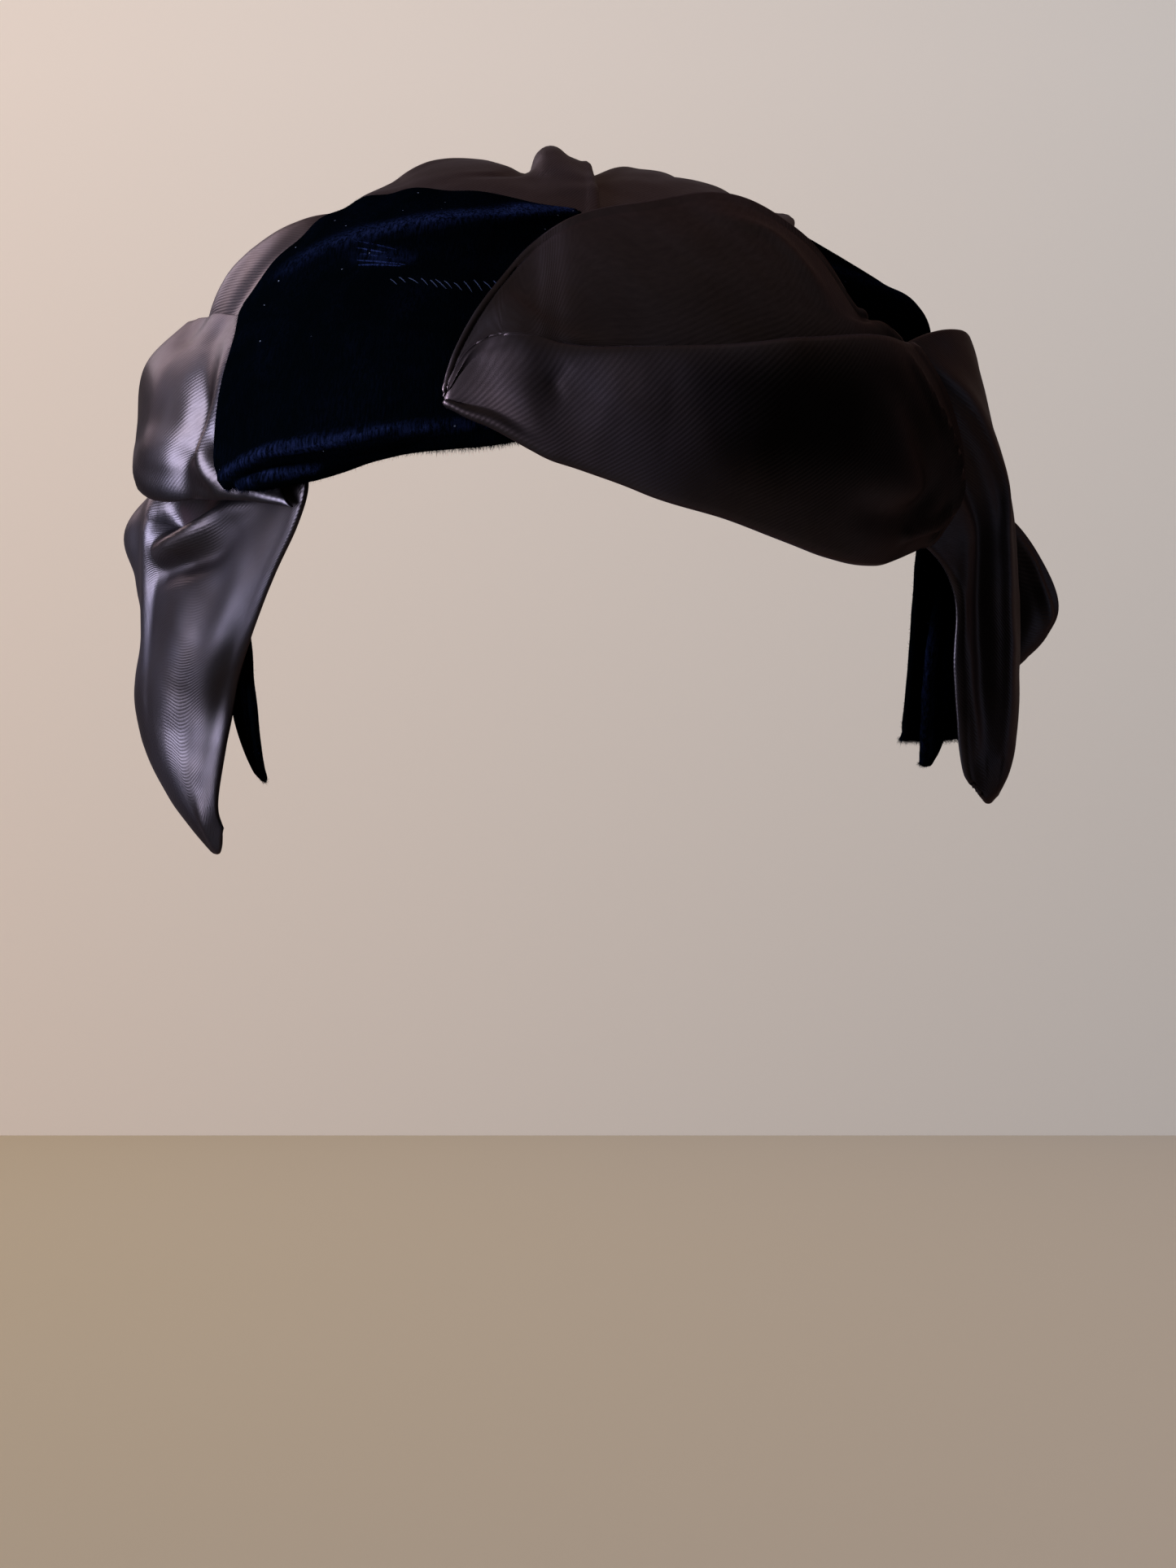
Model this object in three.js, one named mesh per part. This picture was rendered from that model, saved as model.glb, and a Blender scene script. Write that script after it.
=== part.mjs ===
import * as THREE from 'three';

// A half hat: leaves of folded satin and velvet, sewn one over another on a velvet-covered cap
// that reaches from ear to ear and is open below and behind.
// Millimetres, +Z up. The front is -Y, and the wearer's left hand is at +X.
// The origin is the top of the cap's inside, where the hat sits.

// The hollow that the cap encloses
const HOLLOW_HALF_WIDTH = 79;
const HOLLOW_HALF_DEPTH = 97;
const HOLLOW_HEIGHT = 99;
// How far the cap stands clear of a plain oval above the temples
const SHOULDER_STANDOFF = 14;

// Cloth, and the clearance between one layer and the next
const CAP_THICKNESS = 2.2;
const VELVET_THICKNESS = 2.1;
const SATIN_THICKNESS = 1.6;
const LAYER_GAP = 0.5;

// How far a full fold stands off the hollow: every lift in the tables is a share of it
const FOLD_LIFT = 24;

// Width of the cells, in degrees, that remember how high the layers have piled up, and the rounds in
// which a new layer is lifted clear of them
const CELL_DEGREES = 1;
const LAYING_ROUNDS = 10;

// Cloths
const satin = { thickness: SATIN_THICKNESS, colour: 0x2b2226, roughness: 0.32, metalness: 0.0 };
const velvet = { thickness: VELVET_THICKNESS, colour: 0x0a0d1c, roughness: 0.95, metalness: 0.0 };
const capCloth = { thickness: CAP_THICKNESS, colour: 0x080a14, roughness: 0.95, metalness: 0.0 };

// A place on the hat is [alpha, beta, lift]. alpha is the angle in degrees from the crown, seen from
// the front: 0 at the crown, 90 at the +X ear, -90 at the -X ear. beta is the angle in degrees
// towards the back, so the brow is near -65. lift is the height over the hollow as a share of
// FOLD_LIFT. A leaf is a list of sections from one end to the other. Each section lists its places
// from the front or hem edge to the back or upper edge, and the surface runs smoothly through them.

// The cap, from the -X ear over the crown to the +X ear: [alpha, front edge, back edge]
const CAP_SECTIONS = [
  [-82, -18, 26],
  [-74, -26, 29],
  [-60, -38, 31],
  [-40, -49, 31],
  [-20, -55, 29],
  [0, -56, 28],
  [20, -55, 29],
  [40, -49, 31],
  [60, -38, 31],
  [74, -26, 29],
  [82, -18, 26],
];

// The leaves, in the order in which they are sewn on. steps is how many facets a section and a
// stretch between two of its places are cut into.
const LEAVES = [
  {
    // Broad velvet end that hangs before the +X ear, with a cut, furry hem
    name: 'velvet_ear_leaf',
    cloth: velvet,
    steps: [3, 3],
    sections: [
      [[60, -28, 0.1], [61, -8, 0.1], [62, 12, 0.1]],
      [[80, -21, 0.1], [80, 0, 0.16], [80, 18, 0.22]],
      [[95, -14, 0.04], [94, 0, 0.2], [95, 12, 0.42]],
      [[104, -10, 0.04], [102, 0, 0.26], [103, 9, 0.56]],
      [[109.5, -6, 0.04], [108, 0, 0.3], [106, 6, 0.66]],
    ],
  },
  {
    // Narrow velvet end behind the -X tail, drawn in to a point
    name: 'velvet_ear_point',
    cloth: velvet,
    steps: [2, 2],
    sections: [
      [[-66, -26, 0.1], [-66, -13, 0.1], [-66, 0, 0.1]],
      [[-80, -26, 0.12], [-80, -12, 0.14], [-80, 0, 0.14]],
      [[-94, -25, 0.05], [-94, -12, 0.12], [-94, 1, 0.2]],
      [[-104, -23, 0.04], [-103, -11, 0.1], [-102, 0, 0.2]],
      [[-111, -19, 0.04], [-110, -10, 0.08], [-109, -2, 0.16]],
      [[-117, -13, 0.04], [-116.5, -9, 0.06], [-115, -5, 0.1]],
    ],
  },
  {
    // Velvet leaf on the +X shoulder of the crown
    name: 'velvet_shoulder_leaf',
    cloth: velvet,
    steps: [3, 4],
    sections: [
      [[28, -36, 0.1], [28, 0, 0.1], [29, 32, 0.1]],
      [[37, -38, 0.1], [35, -2, 0.12], [38, 33, 0.16]],
      [[45, -37, 0.16], [42, -2, 0.27], [46, 33, 0.22]],
      [[53, -32, 0.16], [49, -2, 0.38], [54, 31, 0.25]],
      [[64, -20, 0.12], [64, 2, 0.16], [66, 24, 0.16]],
    ],
  },
  {
    // Satin band over the -X side of the crown, showing behind the velvet front
    name: 'satin_back_band',
    cloth: satin,
    steps: [3, 4],
    sections: [
      [[-14, -32, 0.1], [-14, 0, 0.1], [-15, 30, 0.1]],
      [[-25, -32, 0.1], [-25, 0, 0.22], [-26, 32, 0.16]],
      [[-36, -30, 0.14], [-35, 2, 0.58], [-37, 33, 0.28]],
      [[-46, -27, 0.16], [-46, 2, 0.68], [-48, 32, 0.33]],
      [[-55, -24, 0.16], [-55, 2, 0.5], [-58, 30, 0.25]],
      [[-70, -18, 0.14], [-68, 2, 0.16], [-70, 24, 0.16]],
    ],
  },
  {
    // Satin leaf across the back of the crown, towards +X
    name: 'satin_crown_leaf',
    cloth: satin,
    steps: [3, 3],
    sections: [
      [[-8, -38, 0.1], [-7, -16, 0.12], [-6, 10, 0.16], [-6, 35, 0.16]],
      [[2, -40, 0.1], [2, -18, 0.14], [3, 12, 0.48], [3, 37, 0.2]],
      [[11, -40, 0.1], [10, -18, 0.18], [9, 13, 0.6], [12, 38, 0.24]],
      [[20, -38, 0.1], [18, -18, 0.18], [17, 12, 0.46], [21, 37, 0.22]],
      [[31, -34, 0.1], [29, -16, 0.1], [28, 8, 0.14], [32, 34, 0.16]],
    ],
  },
  {
    // Satin loop that stands up along the crown in two humps with a pinch between them
    name: 'satin_crown_loop',
    cloth: satin,
    steps: [3, 3],
    sections: [
      [[-29, -30, 0.12], [-28, -14, 0.16], [-27, 8, 0.24], [-27, 30, 0.16]],
      [[-23, -33, 0.12], [-23, -15, 0.3], [-22, 9, 0.58], [-23, 33, 0.24]],
      [[-17, -36, 0.12], [-17, -16, 0.33], [-17, 10, 0.71], [-16, 36, 0.26]],
      [[-11, -38, 0.12], [-11, -16, 0.32], [-11, 11, 0.66], [-10, 38, 0.26]],
      [[-6, -39, 0.12], [-6, -16, 0.28], [-7, 11, 0.54], [-6, 38, 0.24]],
      [[-1, -40, 0.12], [-2, -18, 0.32], [-4, 9, 0.74], [-3, 34, 0.34]],
      [[4, -40, 0.14], [3, -22, 0.24], [1, 0, 0.38], [0, 20, 0.5]],
    ],
  },
  {
    // Short satin end that swings out behind the +X tail
    name: 'satin_back_tail',
    cloth: satin,
    steps: [3, 3],
    sections: [
      [[58, 0, 0.15], [58, 12, 0.15], [58, 24, 0.15]],
      [[71, 4, 0.35], [72, 11, 0.8], [73, 15, 1.15]],
      [[78, 6, 0.45], [79, 11.5, 1.1], [79, 15.5, 1.6]],
      [[85, 7, 0.5], [86, 12, 1.35], [86, 16.5, 1.93]],
      [[91, 8, 0.6], [91, 13, 1.4], [90, 17, 1.83]],
      [[95, 10, 0.95], [95, 13, 1.25], [94, 15.5, 1.45]],
    ],
  },
  {
    // Narrow velvet leaf before the ear, drawn in to a point
    name: 'velvet_front_point',
    cloth: velvet,
    steps: [2, 2],
    sections: [
      [[62, -36, 0.16], [63, -24, 0.16], [64, -12, 0.16]],
      [[79, -17, 0.1], [80, -12, 0.25], [81, -6, 0.42]],
      [[90, -15, 0.1], [90, -11, 0.24], [90, -5, 0.4]],
      [[101, -11, 0.08], [101, -7, 0.24], [100, -2, 0.42]],
      [[108, -7, 0.16], [108, -4.5, 0.3], [107, -1.5, 0.44]],
      [[112, -4.5, 0.28], [112, -3, 0.34], [111.5, -1.5, 0.4]],
    ],
  },
  {
    // Long satin tail on the +X side, from the shoulder to well below the ear
    name: 'satin_right_tail',
    cloth: satin,
    steps: [3, 3],
    sections: [
      [[49, -44, 0.12], [51, -27, 0.58], [54, -6, 0.74], [53, 11, 0.2]],
      [[58, -43, 0.12], [60, -25, 0.6], [59, -4, 0.74], [60, 12, 0.2]],
      [[67, -40, 0.14], [66, -22, 0.6], [66, -3, 0.81], [67, 9, 0.4]],
      [[76, -34, 0.28], [74, -17, 0.64], [74, -1, 0.98], [75, 6, 0.8]],
      [[85, -19, 0.54], [85, -13, 0.72], [85, -1, 1.08], [85, 5, 0.95]],
      [[97, -16, 0.55], [96, -12, 0.74], [95, -1, 1.12], [96, 5, 0.95]],
      [[106, -13, 0.67], [105, -9, 0.85], [104, 0, 1.2], [105, 5, 1.0]],
      [[111, -8, 0.84], [110.5, -5.5, 0.98], [109, -1, 1.19], [109, 2, 1.14]],
      [[113, -4.5, 1.03], [113, -3.5, 1.08], [112.5, -2, 1.12], [112.5, -1, 1.11]],
    ],
  },
  {
    // Long satin tail on the -X side, cupped, with its back edge turned towards the front
    name: 'satin_left_tail',
    cloth: satin,
    steps: [2, 2],
    sections: [
      [[-58, -42, 0.14], [-60, -30, 0.16], [-60, -14, 0.2], [-60, 2, 0.3], [-60, 16, 0.25]],
      [[-64, -48, 0.14], [-70, -30, 0.2], [-71, -15, 0.45], [-70, 1, 0.75], [-71, 19, 0.5]],
      [[-73, -47, 0.13], [-76, -30, 0.28], [-78, -10, 0.8], [-78, 2, 1.2], [-79, 22, 0.7]],
      [[-83, -41, 0.13], [-84, -27, 0.38], [-84, -10, 0.82], [-84, 2, 1.1], [-85, 22, 0.7]],
      [[-93, -33, 0.15], [-93, -23, 0.47], [-92, -10, 0.86], [-91, 2, 1.05], [-93, 20, 0.7]],
      [[-102, -22, 0.18], [-101, -17, 0.56], [-99, -9, 0.94], [-99, 1, 1.17], [-101, 15, 0.75]],
      [[-110, -18, 0.36], [-108, -14, 0.67], [-107, -9, 0.97], [-106, -1, 1.11], [-107, 9, 0.78]],
      [[-117, -14.5, 0.57], [-115, -12.5, 0.75], [-114, -9, 0.9], [-113, -4, 0.99], [-113, 2, 0.94]],
      [[-123, -11.5, 0.62], [-123, -10.5, 0.69], [-122.5, -9, 0.74], [-121.5, -8, 0.79], [-121, -6, 0.73]],
    ],
  },
  {
    // Satin puff over the root of the -X tail, with a free lower lip
    name: 'satin_left_puff',
    cloth: satin,
    steps: [3, 3],
    sections: [
      [[-44, -38, 0.3], [-50, -10, 0.55], [-52, -1, 0.8], [-48, 24, 0.4]],
      [[-52, -42, 0.3], [-57, -19, 0.63], [-59, -1, 1.07], [-56, 24, 0.45]],
      [[-60, -44, 0.3], [-64, -22, 0.67], [-65, -2, 1.04], [-62, 22, 0.5]],
      [[-67, -45, 0.28], [-69, -25, 0.72], [-69, -4, 1.03], [-65, 18, 0.6]],
      [[-70, -48, 0.25], [-73, -22, 0.57], [-72, -7, 0.88], [-67, 12, 0.7]],
    ],
  },
  {
    // Velvet panel across the brow and the -X temple, with a rolled hem and a soft ridge
    name: 'velvet_front_panel',
    cloth: velvet,
    steps: [4, 2],
    sections: [
      [[-70.5, -38, 0.54], [-67, -35, 0.62], [-60, -34, 0.67], [-52, -31, 0.63], [-48, -27, 0.58]],
      [[-67.5, -46, 0.33], [-63, -47.5, 0.5], [-53, -43.5, 0.54], [-43, -35, 0.58], [-40, -26, 0.58]],
      [[-57, -56, 0.19], [-52, -58, 0.37], [-41, -50.5, 0.5], [-34, -40, 0.58], [-30, -24.5, 0.58]],
      [[-37, -66, 0.15], [-34, -64.5, 0.29], [-27, -56.5, 0.46], [-21, -43, 0.58], [-20, -28.5, 0.58]],
      [[-13, -69, 0.13], [-11.5, -67, 0.21], [-8, -57.5, 0.33], [-8, -42, 0.48], [-9, -33, 0.48]],
      [[16, -67, 0.12], [15, -65, 0.15], [9, -56.5, 0.2], [3.5, -39, 0.33], [0.5, -34.5, 0.33]],
    ],
  },
  {
    // Large satin leaf over the brow: a pointed end at -X, a pleat that opens towards +X with the
    // arched upper part behind it, and a rounded end curled over the +X temple
    name: 'satin_front_leaf',
    cloth: satin,
    steps: [4, 2],
    sections: [
      [[-33, -63.2, 0.5], [-32.8, -63, 0.5], [-32.6, -62.8, 0.5], [-32.3, -62.6, 0.5],
        [-32, -62.3, 0.5], [-31.5, -61.8, 0.5]],
      [[-26, -67, 0.42], [-23, -64.5, 0.5], [-20, -61, 0.54], [-18.5, -59, 0.54],
        [-17, -56, 0.52], [-15.5, -52.5, 0.5]],
      [[-5, -73.5, 0.37], [-4, -69, 0.54], [-3, -63, 0.63], [-3, -60, 0.58],
        [-2, -51.5, 0.58], [-2, -41, 0.54]],
      [[34, -74.5, 0.33], [23, -69, 0.63], [16.5, -62, 0.79], [16, -58.5, 0.54],
        [13, -49.5, 0.58], [10.5, -36, 0.58]],
      [[61, -68.5, 0.33], [43.5, -65.5, 0.71], [31.5, -58.5, 0.87], [30.5, -54, 0.54],
        [24.5, -44.5, 0.58], [20.5, -30, 0.58]],
      [[76, -58, 0.33], [57, -58, 0.75], [42, -51.5, 0.92], [40, -47, 0.54],
        [34.5, -40, 0.54], [31, -30.5, 0.5]],
      [[80.5, -45, 0.33], [67, -46, 0.79], [48, -44, 0.92], [45, -40, 0.54],
        [43, -38, 0.5], [41, -34, 0.42]],
      [[78, -33, 0.3], [72, -30, 0.72], [53, -35, 0.75], [47.5, -34, 0.45],
        [45.5, -34, 0.4], [44, -33.5, 0.38]],
    ],
  },
];

// The hollow: an oval with a soft shoulder over each temple

const RADIANS = Math.PI / 180;

function hollowRadius(alpha, beta) {
  const [a, b] = [alpha * RADIANS, beta * RADIANS];
  const across = Math.sin(a) * Math.cos(b) / HOLLOW_HALF_WIDTH;
  const along = Math.sin(b) / HOLLOW_HALF_DEPTH;
  const up = Math.cos(a) * Math.cos(b) / HOLLOW_HEIGHT;
  const oval = 1 / Math.hypot(across, along, up);
  if (Math.abs(alpha) > 90) {
    return oval;
  }
  return oval + SHOULDER_STANDOFF * (Math.sin(2 * a) * Math.cos(b)) ** 2;
}

function placeToPoint(alpha, beta, height) {
  const [a, b] = [alpha * RADIANS, beta * RADIANS];
  const reach = hollowRadius(alpha, beta) + height;
  const x = Math.sin(a) * Math.cos(b);
  const z = Math.cos(a) * Math.cos(b);
  return new THREE.Vector3(reach * x, reach * Math.sin(b), reach * z - HOLLOW_HEIGHT);
}

function pointToPlace(point) {
  const z = point.z + HOLLOW_HEIGHT;
  const reach = Math.hypot(point.x, point.y, z);
  const alpha = Math.atan2(point.x, z) / RADIANS;
  const beta = Math.asin(point.y / reach) / RADIANS;
  return [alpha, beta, reach - hollowRadius(alpha, beta)];
}

// Smooth surfaces through a table of places

// The value at a position along equally spaced values, on a smooth curve through all of them
function alongValues(values, position) {
  const last = values.length - 1;
  const start = Math.min(Math.floor(position), last - 1);
  const share = position - start;
  const from = values[start];
  const to = values[start + 1];
  const before = start > 0 ? values[start - 1] : 2 * from - to;
  const after = start + 2 <= last ? values[start + 2] : 2 * to - from;
  const slopeFrom = (to - before) / 2;
  const slopeTo = (after - from) / 2;
  const bend = share * (1 - share);
  const even = share * share * (3 - 2 * share);
  return from + (to - from) * even + bend * ((1 - share) * slopeFrom - share * slopeTo);
}

// Splits every stretch between neighbouring rows into equal steps
function refine(rows, steps) {
  const count = (rows.length - 1) * steps;
  const columns = rows[0].length;
  const result = [];
  for (let i = 0; i <= count; i += 1) {
    const row = [];
    for (let j = 0; j < columns; j += 1) {
      row.push([0, 1, 2].map((k) => alongValues(rows.map((r) => r[j][k]), i / steps)));
    }
    result.push(row);
  }
  return result;
}

const turned = (rows) => rows[0].map((_, j) => rows.map((row) => row[j]));

function surfaceThrough(sections, [sectionSteps, placeSteps]) {
  const lengthwise = refine(sections, sectionSteps);
  return turned(refine(turned(lengthwise), placeSteps));
}

// Shells of cloth around a grid of places

// The entry of a grid at i, j, or the nearest one on its border where i, j lies outside
function neighbour(grid, i, j) {
  const row = grid[Math.max(0, Math.min(grid.length - 1, i))];
  return row[Math.max(0, Math.min(row.length - 1, j))];
}

// Points and outward unit normals of a grid of places
function measureSurface(places) {
  const points = places.map((row) => row.map((place) => placeToPoint(...place)));
  const centre = new THREE.Vector3(0, 0, -HOLLOW_HEIGHT);
  const first = new THREE.Vector3();
  const second = new THREE.Vector3();
  const outward = new THREE.Vector3();
  let facing = 0;
  const normals = points.map((row, i) => row.map((point, j) => {
    first.subVectors(neighbour(points, i + 1, j), neighbour(points, i - 1, j));
    second.subVectors(neighbour(points, i, j + 1), neighbour(points, i, j - 1));
    const normal = new THREE.Vector3().crossVectors(first, second).normalize();
    facing += normal.dot(outward.subVectors(point, centre));
    return normal;
  }));
  const flipped = facing < 0;
  if (flipped) {
    normals.forEach((row) => row.forEach((normal) => normal.negate()));
  }
  return { points, normals, flipped };
}

// A closed shell: the grid's outer and inner sides, joined by a rim all the way round
function shellGeometry({ points, normals, flipped }, thickness) {
  const rows = points.length;
  const columns = points[0].length;
  const positions = [];
  for (const side of [1, -1]) {
    points.forEach((row, i) => row.forEach((point, j) => {
      positions.push(...point.clone().addScaledVector(normals[i][j], side * thickness / 2).toArray());
    }));
  }
  const outer = (i, j) => i * columns + j;
  const inner = (i, j) => (rows + i) * columns + j;
  const index = [];
  const quad = (a, b, c, d) => {
    index.push(...(flipped ? [a, c, b, a, d, c] : [a, b, c, a, c, d]));
  };
  for (let i = 0; i < rows - 1; i += 1) {
    for (let j = 0; j < columns - 1; j += 1) {
      quad(outer(i, j), outer(i + 1, j), outer(i + 1, j + 1), outer(i, j + 1));
      quad(inner(i, j), inner(i, j + 1), inner(i + 1, j + 1), inner(i + 1, j));
    }
  }
  for (let i = 0; i < rows - 1; i += 1) {
    quad(outer(i, 0), inner(i, 0), inner(i + 1, 0), outer(i + 1, 0));
    quad(outer(i + 1, columns - 1), inner(i + 1, columns - 1), inner(i, columns - 1), outer(i, columns - 1));
  }
  for (let j = 0; j < columns - 1; j += 1) {
    quad(outer(0, j + 1), inner(0, j + 1), inner(0, j), outer(0, j));
    quad(outer(rows - 1, j), inner(rows - 1, j), inner(rows - 1, j + 1), outer(rows - 1, j + 1));
  }
  const geometry = new THREE.BufferGeometry();
  geometry.setAttribute('position', new THREE.Float32BufferAttribute(positions, 3));
  geometry.setIndex(index);
  geometry.computeVertexNormals();
  return geometry;
}

// The pile: for each cell of directions, the height over the hollow that the cloth has reached

const ALPHA_CELLS = Math.round(360 / CELL_DEGREES) + 1;
const BETA_CELLS = Math.round(180 / CELL_DEGREES) + 1;
const pile = new Float64Array(ALPHA_CELLS * BETA_CELLS).fill(-LAYER_GAP);

const cellAt = (i, j) => i * BETA_CELLS + j;

// Visits evenly spaced samples of a facet with four corners. The visitor gets the corners' shares.
function sampleFacet(corners, visit) {
  const span = Math.max(...[0, 1].map((k) => {
    const angles = corners.map((corner) => corner[k]);
    return Math.max(...angles) - Math.min(...angles);
  }));
  const samples = Math.ceil(span / CELL_DEGREES) + 1;
  for (let s = 0; s <= samples; s += 1) {
    for (let t = 0; t <= samples; t += 1) {
      const [u, v] = [s / samples, t / samples];
      visit([(1 - u) * (1 - v), u * (1 - v), (1 - u) * v, u * v]);
    }
  }
}

const blend = (corners, shares, k) => corners.reduce((sum, corner, n) => sum + shares[n] * corner[k], 0);

function forEachFacet(grid, visit) {
  for (let i = 0; i < grid.length - 1; i += 1) {
    for (let j = 0; j < grid[0].length - 1; j += 1) {
      visit([grid[i][j], grid[i + 1][j], grid[i][j + 1], grid[i + 1][j + 1]]);
    }
  }
}

// Records the outer side of a piece in all the cells around each of its samples
function addToPile({ points, normals }, thickness) {
  const places = points.map((row, i) => row.map((point, j) => {
    return pointToPlace(point.clone().addScaledVector(normals[i][j], thickness / 2));
  }));
  forEachFacet(places, (corners) => sampleFacet(corners, (shares) => {
    const [alpha, beta, height] = [0, 1, 2].map((k) => blend(corners, shares, k));
    for (const i of [Math.floor((alpha + 180) / CELL_DEGREES), Math.ceil((alpha + 180) / CELL_DEGREES)]) {
      for (const j of [Math.floor((beta + 90) / CELL_DEGREES), Math.ceil((beta + 90) / CELL_DEGREES)]) {
        pile[cellAt(i, j)] = Math.max(pile[cellAt(i, j)], height);
      }
    }
  }));
}

function pileAt(alpha, beta) {
  return pile[cellAt(Math.round((alpha + 180) / CELL_DEGREES), Math.round((beta + 90) / CELL_DEGREES))];
}

function averageAround(grid) {
  return grid.map((row, i) => row.map((_, j) => {
    let sum = 0;
    for (const di of [-1, 0, 1]) {
      for (const dj of [-1, 0, 1]) {
        sum += neighbour(grid, i + di, j + dj);
      }
    }
    return sum / 9;
  }));
}

// Lifts a grid of places clear of the pile. In each round every corner rises by the most that is
// missing at the samples nearest to it, until none is missing. The rise is then softened into its
// surroundings, so the cloth drapes over the layers below.
function layOnPile(places, thickness) {
  const { points, normals } = measureSurface(places);
  const centre = new THREE.Vector3(0, 0, -HOLLOW_HEIGHT);
  const laid = places.map((row, i) => row.map(([alpha, beta, height], j) => {
    const outward = new THREE.Vector3().subVectors(points[i][j], centre).normalize();
    const uprightness = Math.max(0.4, Math.abs(outward.dot(normals[i][j])));
    return [alpha, beta, height, LAYER_GAP + thickness / 2 / uprightness, 0];
  }));
  for (let round = 0; round < LAYING_ROUNDS; round += 1) {
    forEachFacet(laid, (corners) => sampleFacet(corners, (shares) => {
      const [alpha, beta, height, clearance] = [0, 1, 2, 3].map((k) => blend(corners, shares, k));
      const nearest = corners[shares.indexOf(Math.max(...shares))];
      nearest[4] = Math.max(nearest[4], pileAt(alpha, beta) + clearance - height);
    }));
    laid.flat().forEach((place) => {
      place[2] += place[4];
      place[4] = 0;
    });
  }
  const rise = laid.map((row, i) => row.map((place, j) => place[2] - places[i][j][2]));
  const softened = averageAround(rise);
  return places.map((row, i) => row.map(([alpha, beta, height], j) => {
    return [alpha, beta, height + Math.max(rise[i][j], softened[i][j])];
  }));
}

// The pieces

function makePiece(name, cloth, surface) {
  const material = new THREE.MeshStandardMaterial({
    color: cloth.colour,
    roughness: cloth.roughness,
    metalness: cloth.metalness,
  });
  const mesh = new THREE.Mesh(shellGeometry(surface, cloth.thickness), material);
  mesh.name = name;
  addToPile(surface, cloth.thickness);
  return mesh;
}

function makeCap() {
  const height = CAP_THICKNESS / 2;
  const sections = CAP_SECTIONS.map(([alpha, front, back]) => {
    return [[alpha, front, height], [alpha, (front + back) / 2, height], [alpha, back, height]];
  });
  return makePiece('cap', capCloth, measureSurface(surfaceThrough(sections, [2, 4])));
}

function makeLeaf({ name, cloth, steps, sections }) {
  const lifted = surfaceThrough(sections, steps).map((row) => row.map(([alpha, beta, lift]) => {
    return [alpha, beta, lift * FOLD_LIFT];
  }));
  const laid = layOnPile(layOnPile(lifted, cloth.thickness), cloth.thickness);
  return makePiece(name, cloth, measureSurface(laid));
}

const hat = new THREE.Group();
hat.add(makeCap());
for (const leaf of LEAVES) {
  hat.add(makeLeaf(leaf));
}

export default hat;
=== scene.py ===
# %% [markdown]
# # A half hat of draped satin and velvet
#
# This lesson dresses a plain CAD model of a half hat. On the real hat, leaves of doubled satin and
# velvet are folded and sewn one over another on a small cap that reaches from ear to ear. The CAD
# model gives every leaf its place. Here each leaf is made again as a fine cloth surface, with its
# folds, rolled hems, gathers and pile, and gets a material of its own.
#
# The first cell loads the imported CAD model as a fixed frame. Everything below is in its place.

# %% Load the frame
import bpy
import numpy as np
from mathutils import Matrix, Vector


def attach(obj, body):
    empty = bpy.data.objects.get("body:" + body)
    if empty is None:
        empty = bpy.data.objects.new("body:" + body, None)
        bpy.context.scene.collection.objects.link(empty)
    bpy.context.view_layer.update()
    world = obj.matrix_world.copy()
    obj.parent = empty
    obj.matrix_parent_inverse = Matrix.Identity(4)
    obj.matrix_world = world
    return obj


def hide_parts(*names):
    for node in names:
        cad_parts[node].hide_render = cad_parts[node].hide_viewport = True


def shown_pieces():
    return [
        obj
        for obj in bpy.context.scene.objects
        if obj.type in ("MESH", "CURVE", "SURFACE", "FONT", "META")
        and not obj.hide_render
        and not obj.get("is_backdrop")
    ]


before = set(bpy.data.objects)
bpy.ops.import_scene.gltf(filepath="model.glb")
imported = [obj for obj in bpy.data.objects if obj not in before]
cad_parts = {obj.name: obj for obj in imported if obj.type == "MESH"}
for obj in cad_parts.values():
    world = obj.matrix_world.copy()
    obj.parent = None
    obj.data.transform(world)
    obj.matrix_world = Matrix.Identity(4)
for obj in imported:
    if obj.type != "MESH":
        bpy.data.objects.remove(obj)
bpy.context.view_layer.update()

# %% [markdown]
# ## The hollow that the hat is built round
#
# The leaves could be placed with plain X, Y and Z, but then a fold over the temple needs different
# numbers from the same fold over the brow. A hat is easier to describe from inside. Every place is
# two angles from the middle of the hollow and a height over its wall: alpha is 0 at the crown and
# 90 at the +X ear, and beta turns towards the back.

# %% Angles on the hollow
HALF_WIDTH, HALF_DEPTH, HEIGHT = 79.0, 97.0, 99.0
SHOULDER = 14.0
CENTRE = np.array([0.0, 0.0, -HEIGHT])


def hollow_radius(alpha, beta):
    """Distance from the centre to the wall: an oval, 1 over the length of (x / half width, y / half
    depth, z / height), plus a soft shoulder over each temple, SHOULDER x (sin 2 alpha cos beta)^2."""
    a, b = np.radians(alpha), np.radians(beta)
    across = np.sin(a) * np.cos(b) / HALF_WIDTH
    up = np.cos(a) * np.cos(b) / HEIGHT
    oval = 1 / np.sqrt(across**2 + (np.sin(b) / HALF_DEPTH) ** 2 + up**2)
    return oval + np.where(np.abs(alpha) < 90, SHOULDER * (np.sin(2 * a) * np.cos(b)) ** 2, 0)


def to_points(places):
    """Places (alpha, beta, height) to points in mm: centre + (radius + height) x direction."""
    a, b = np.radians(places[..., 0]), np.radians(places[..., 1])
    direction = np.stack([np.sin(a) * np.cos(b), np.sin(b), np.cos(a) * np.cos(b)], -1)
    reach = hollow_radius(places[..., 0], places[..., 1]) + places[..., 2]
    return CENTRE + reach[..., None] * direction


def to_places(points):
    """The way back: the angles of the direction from the centre, and what is left over the wall."""
    out = points - CENTRE
    reach = np.linalg.norm(out, axis=-1)
    alpha = np.degrees(np.arctan2(out[..., 0], out[..., 2]))
    beta = np.degrees(np.arcsin(out[..., 1] / reach))
    return np.stack([alpha, beta, reach - hollow_radius(alpha, beta)], -1)


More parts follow.
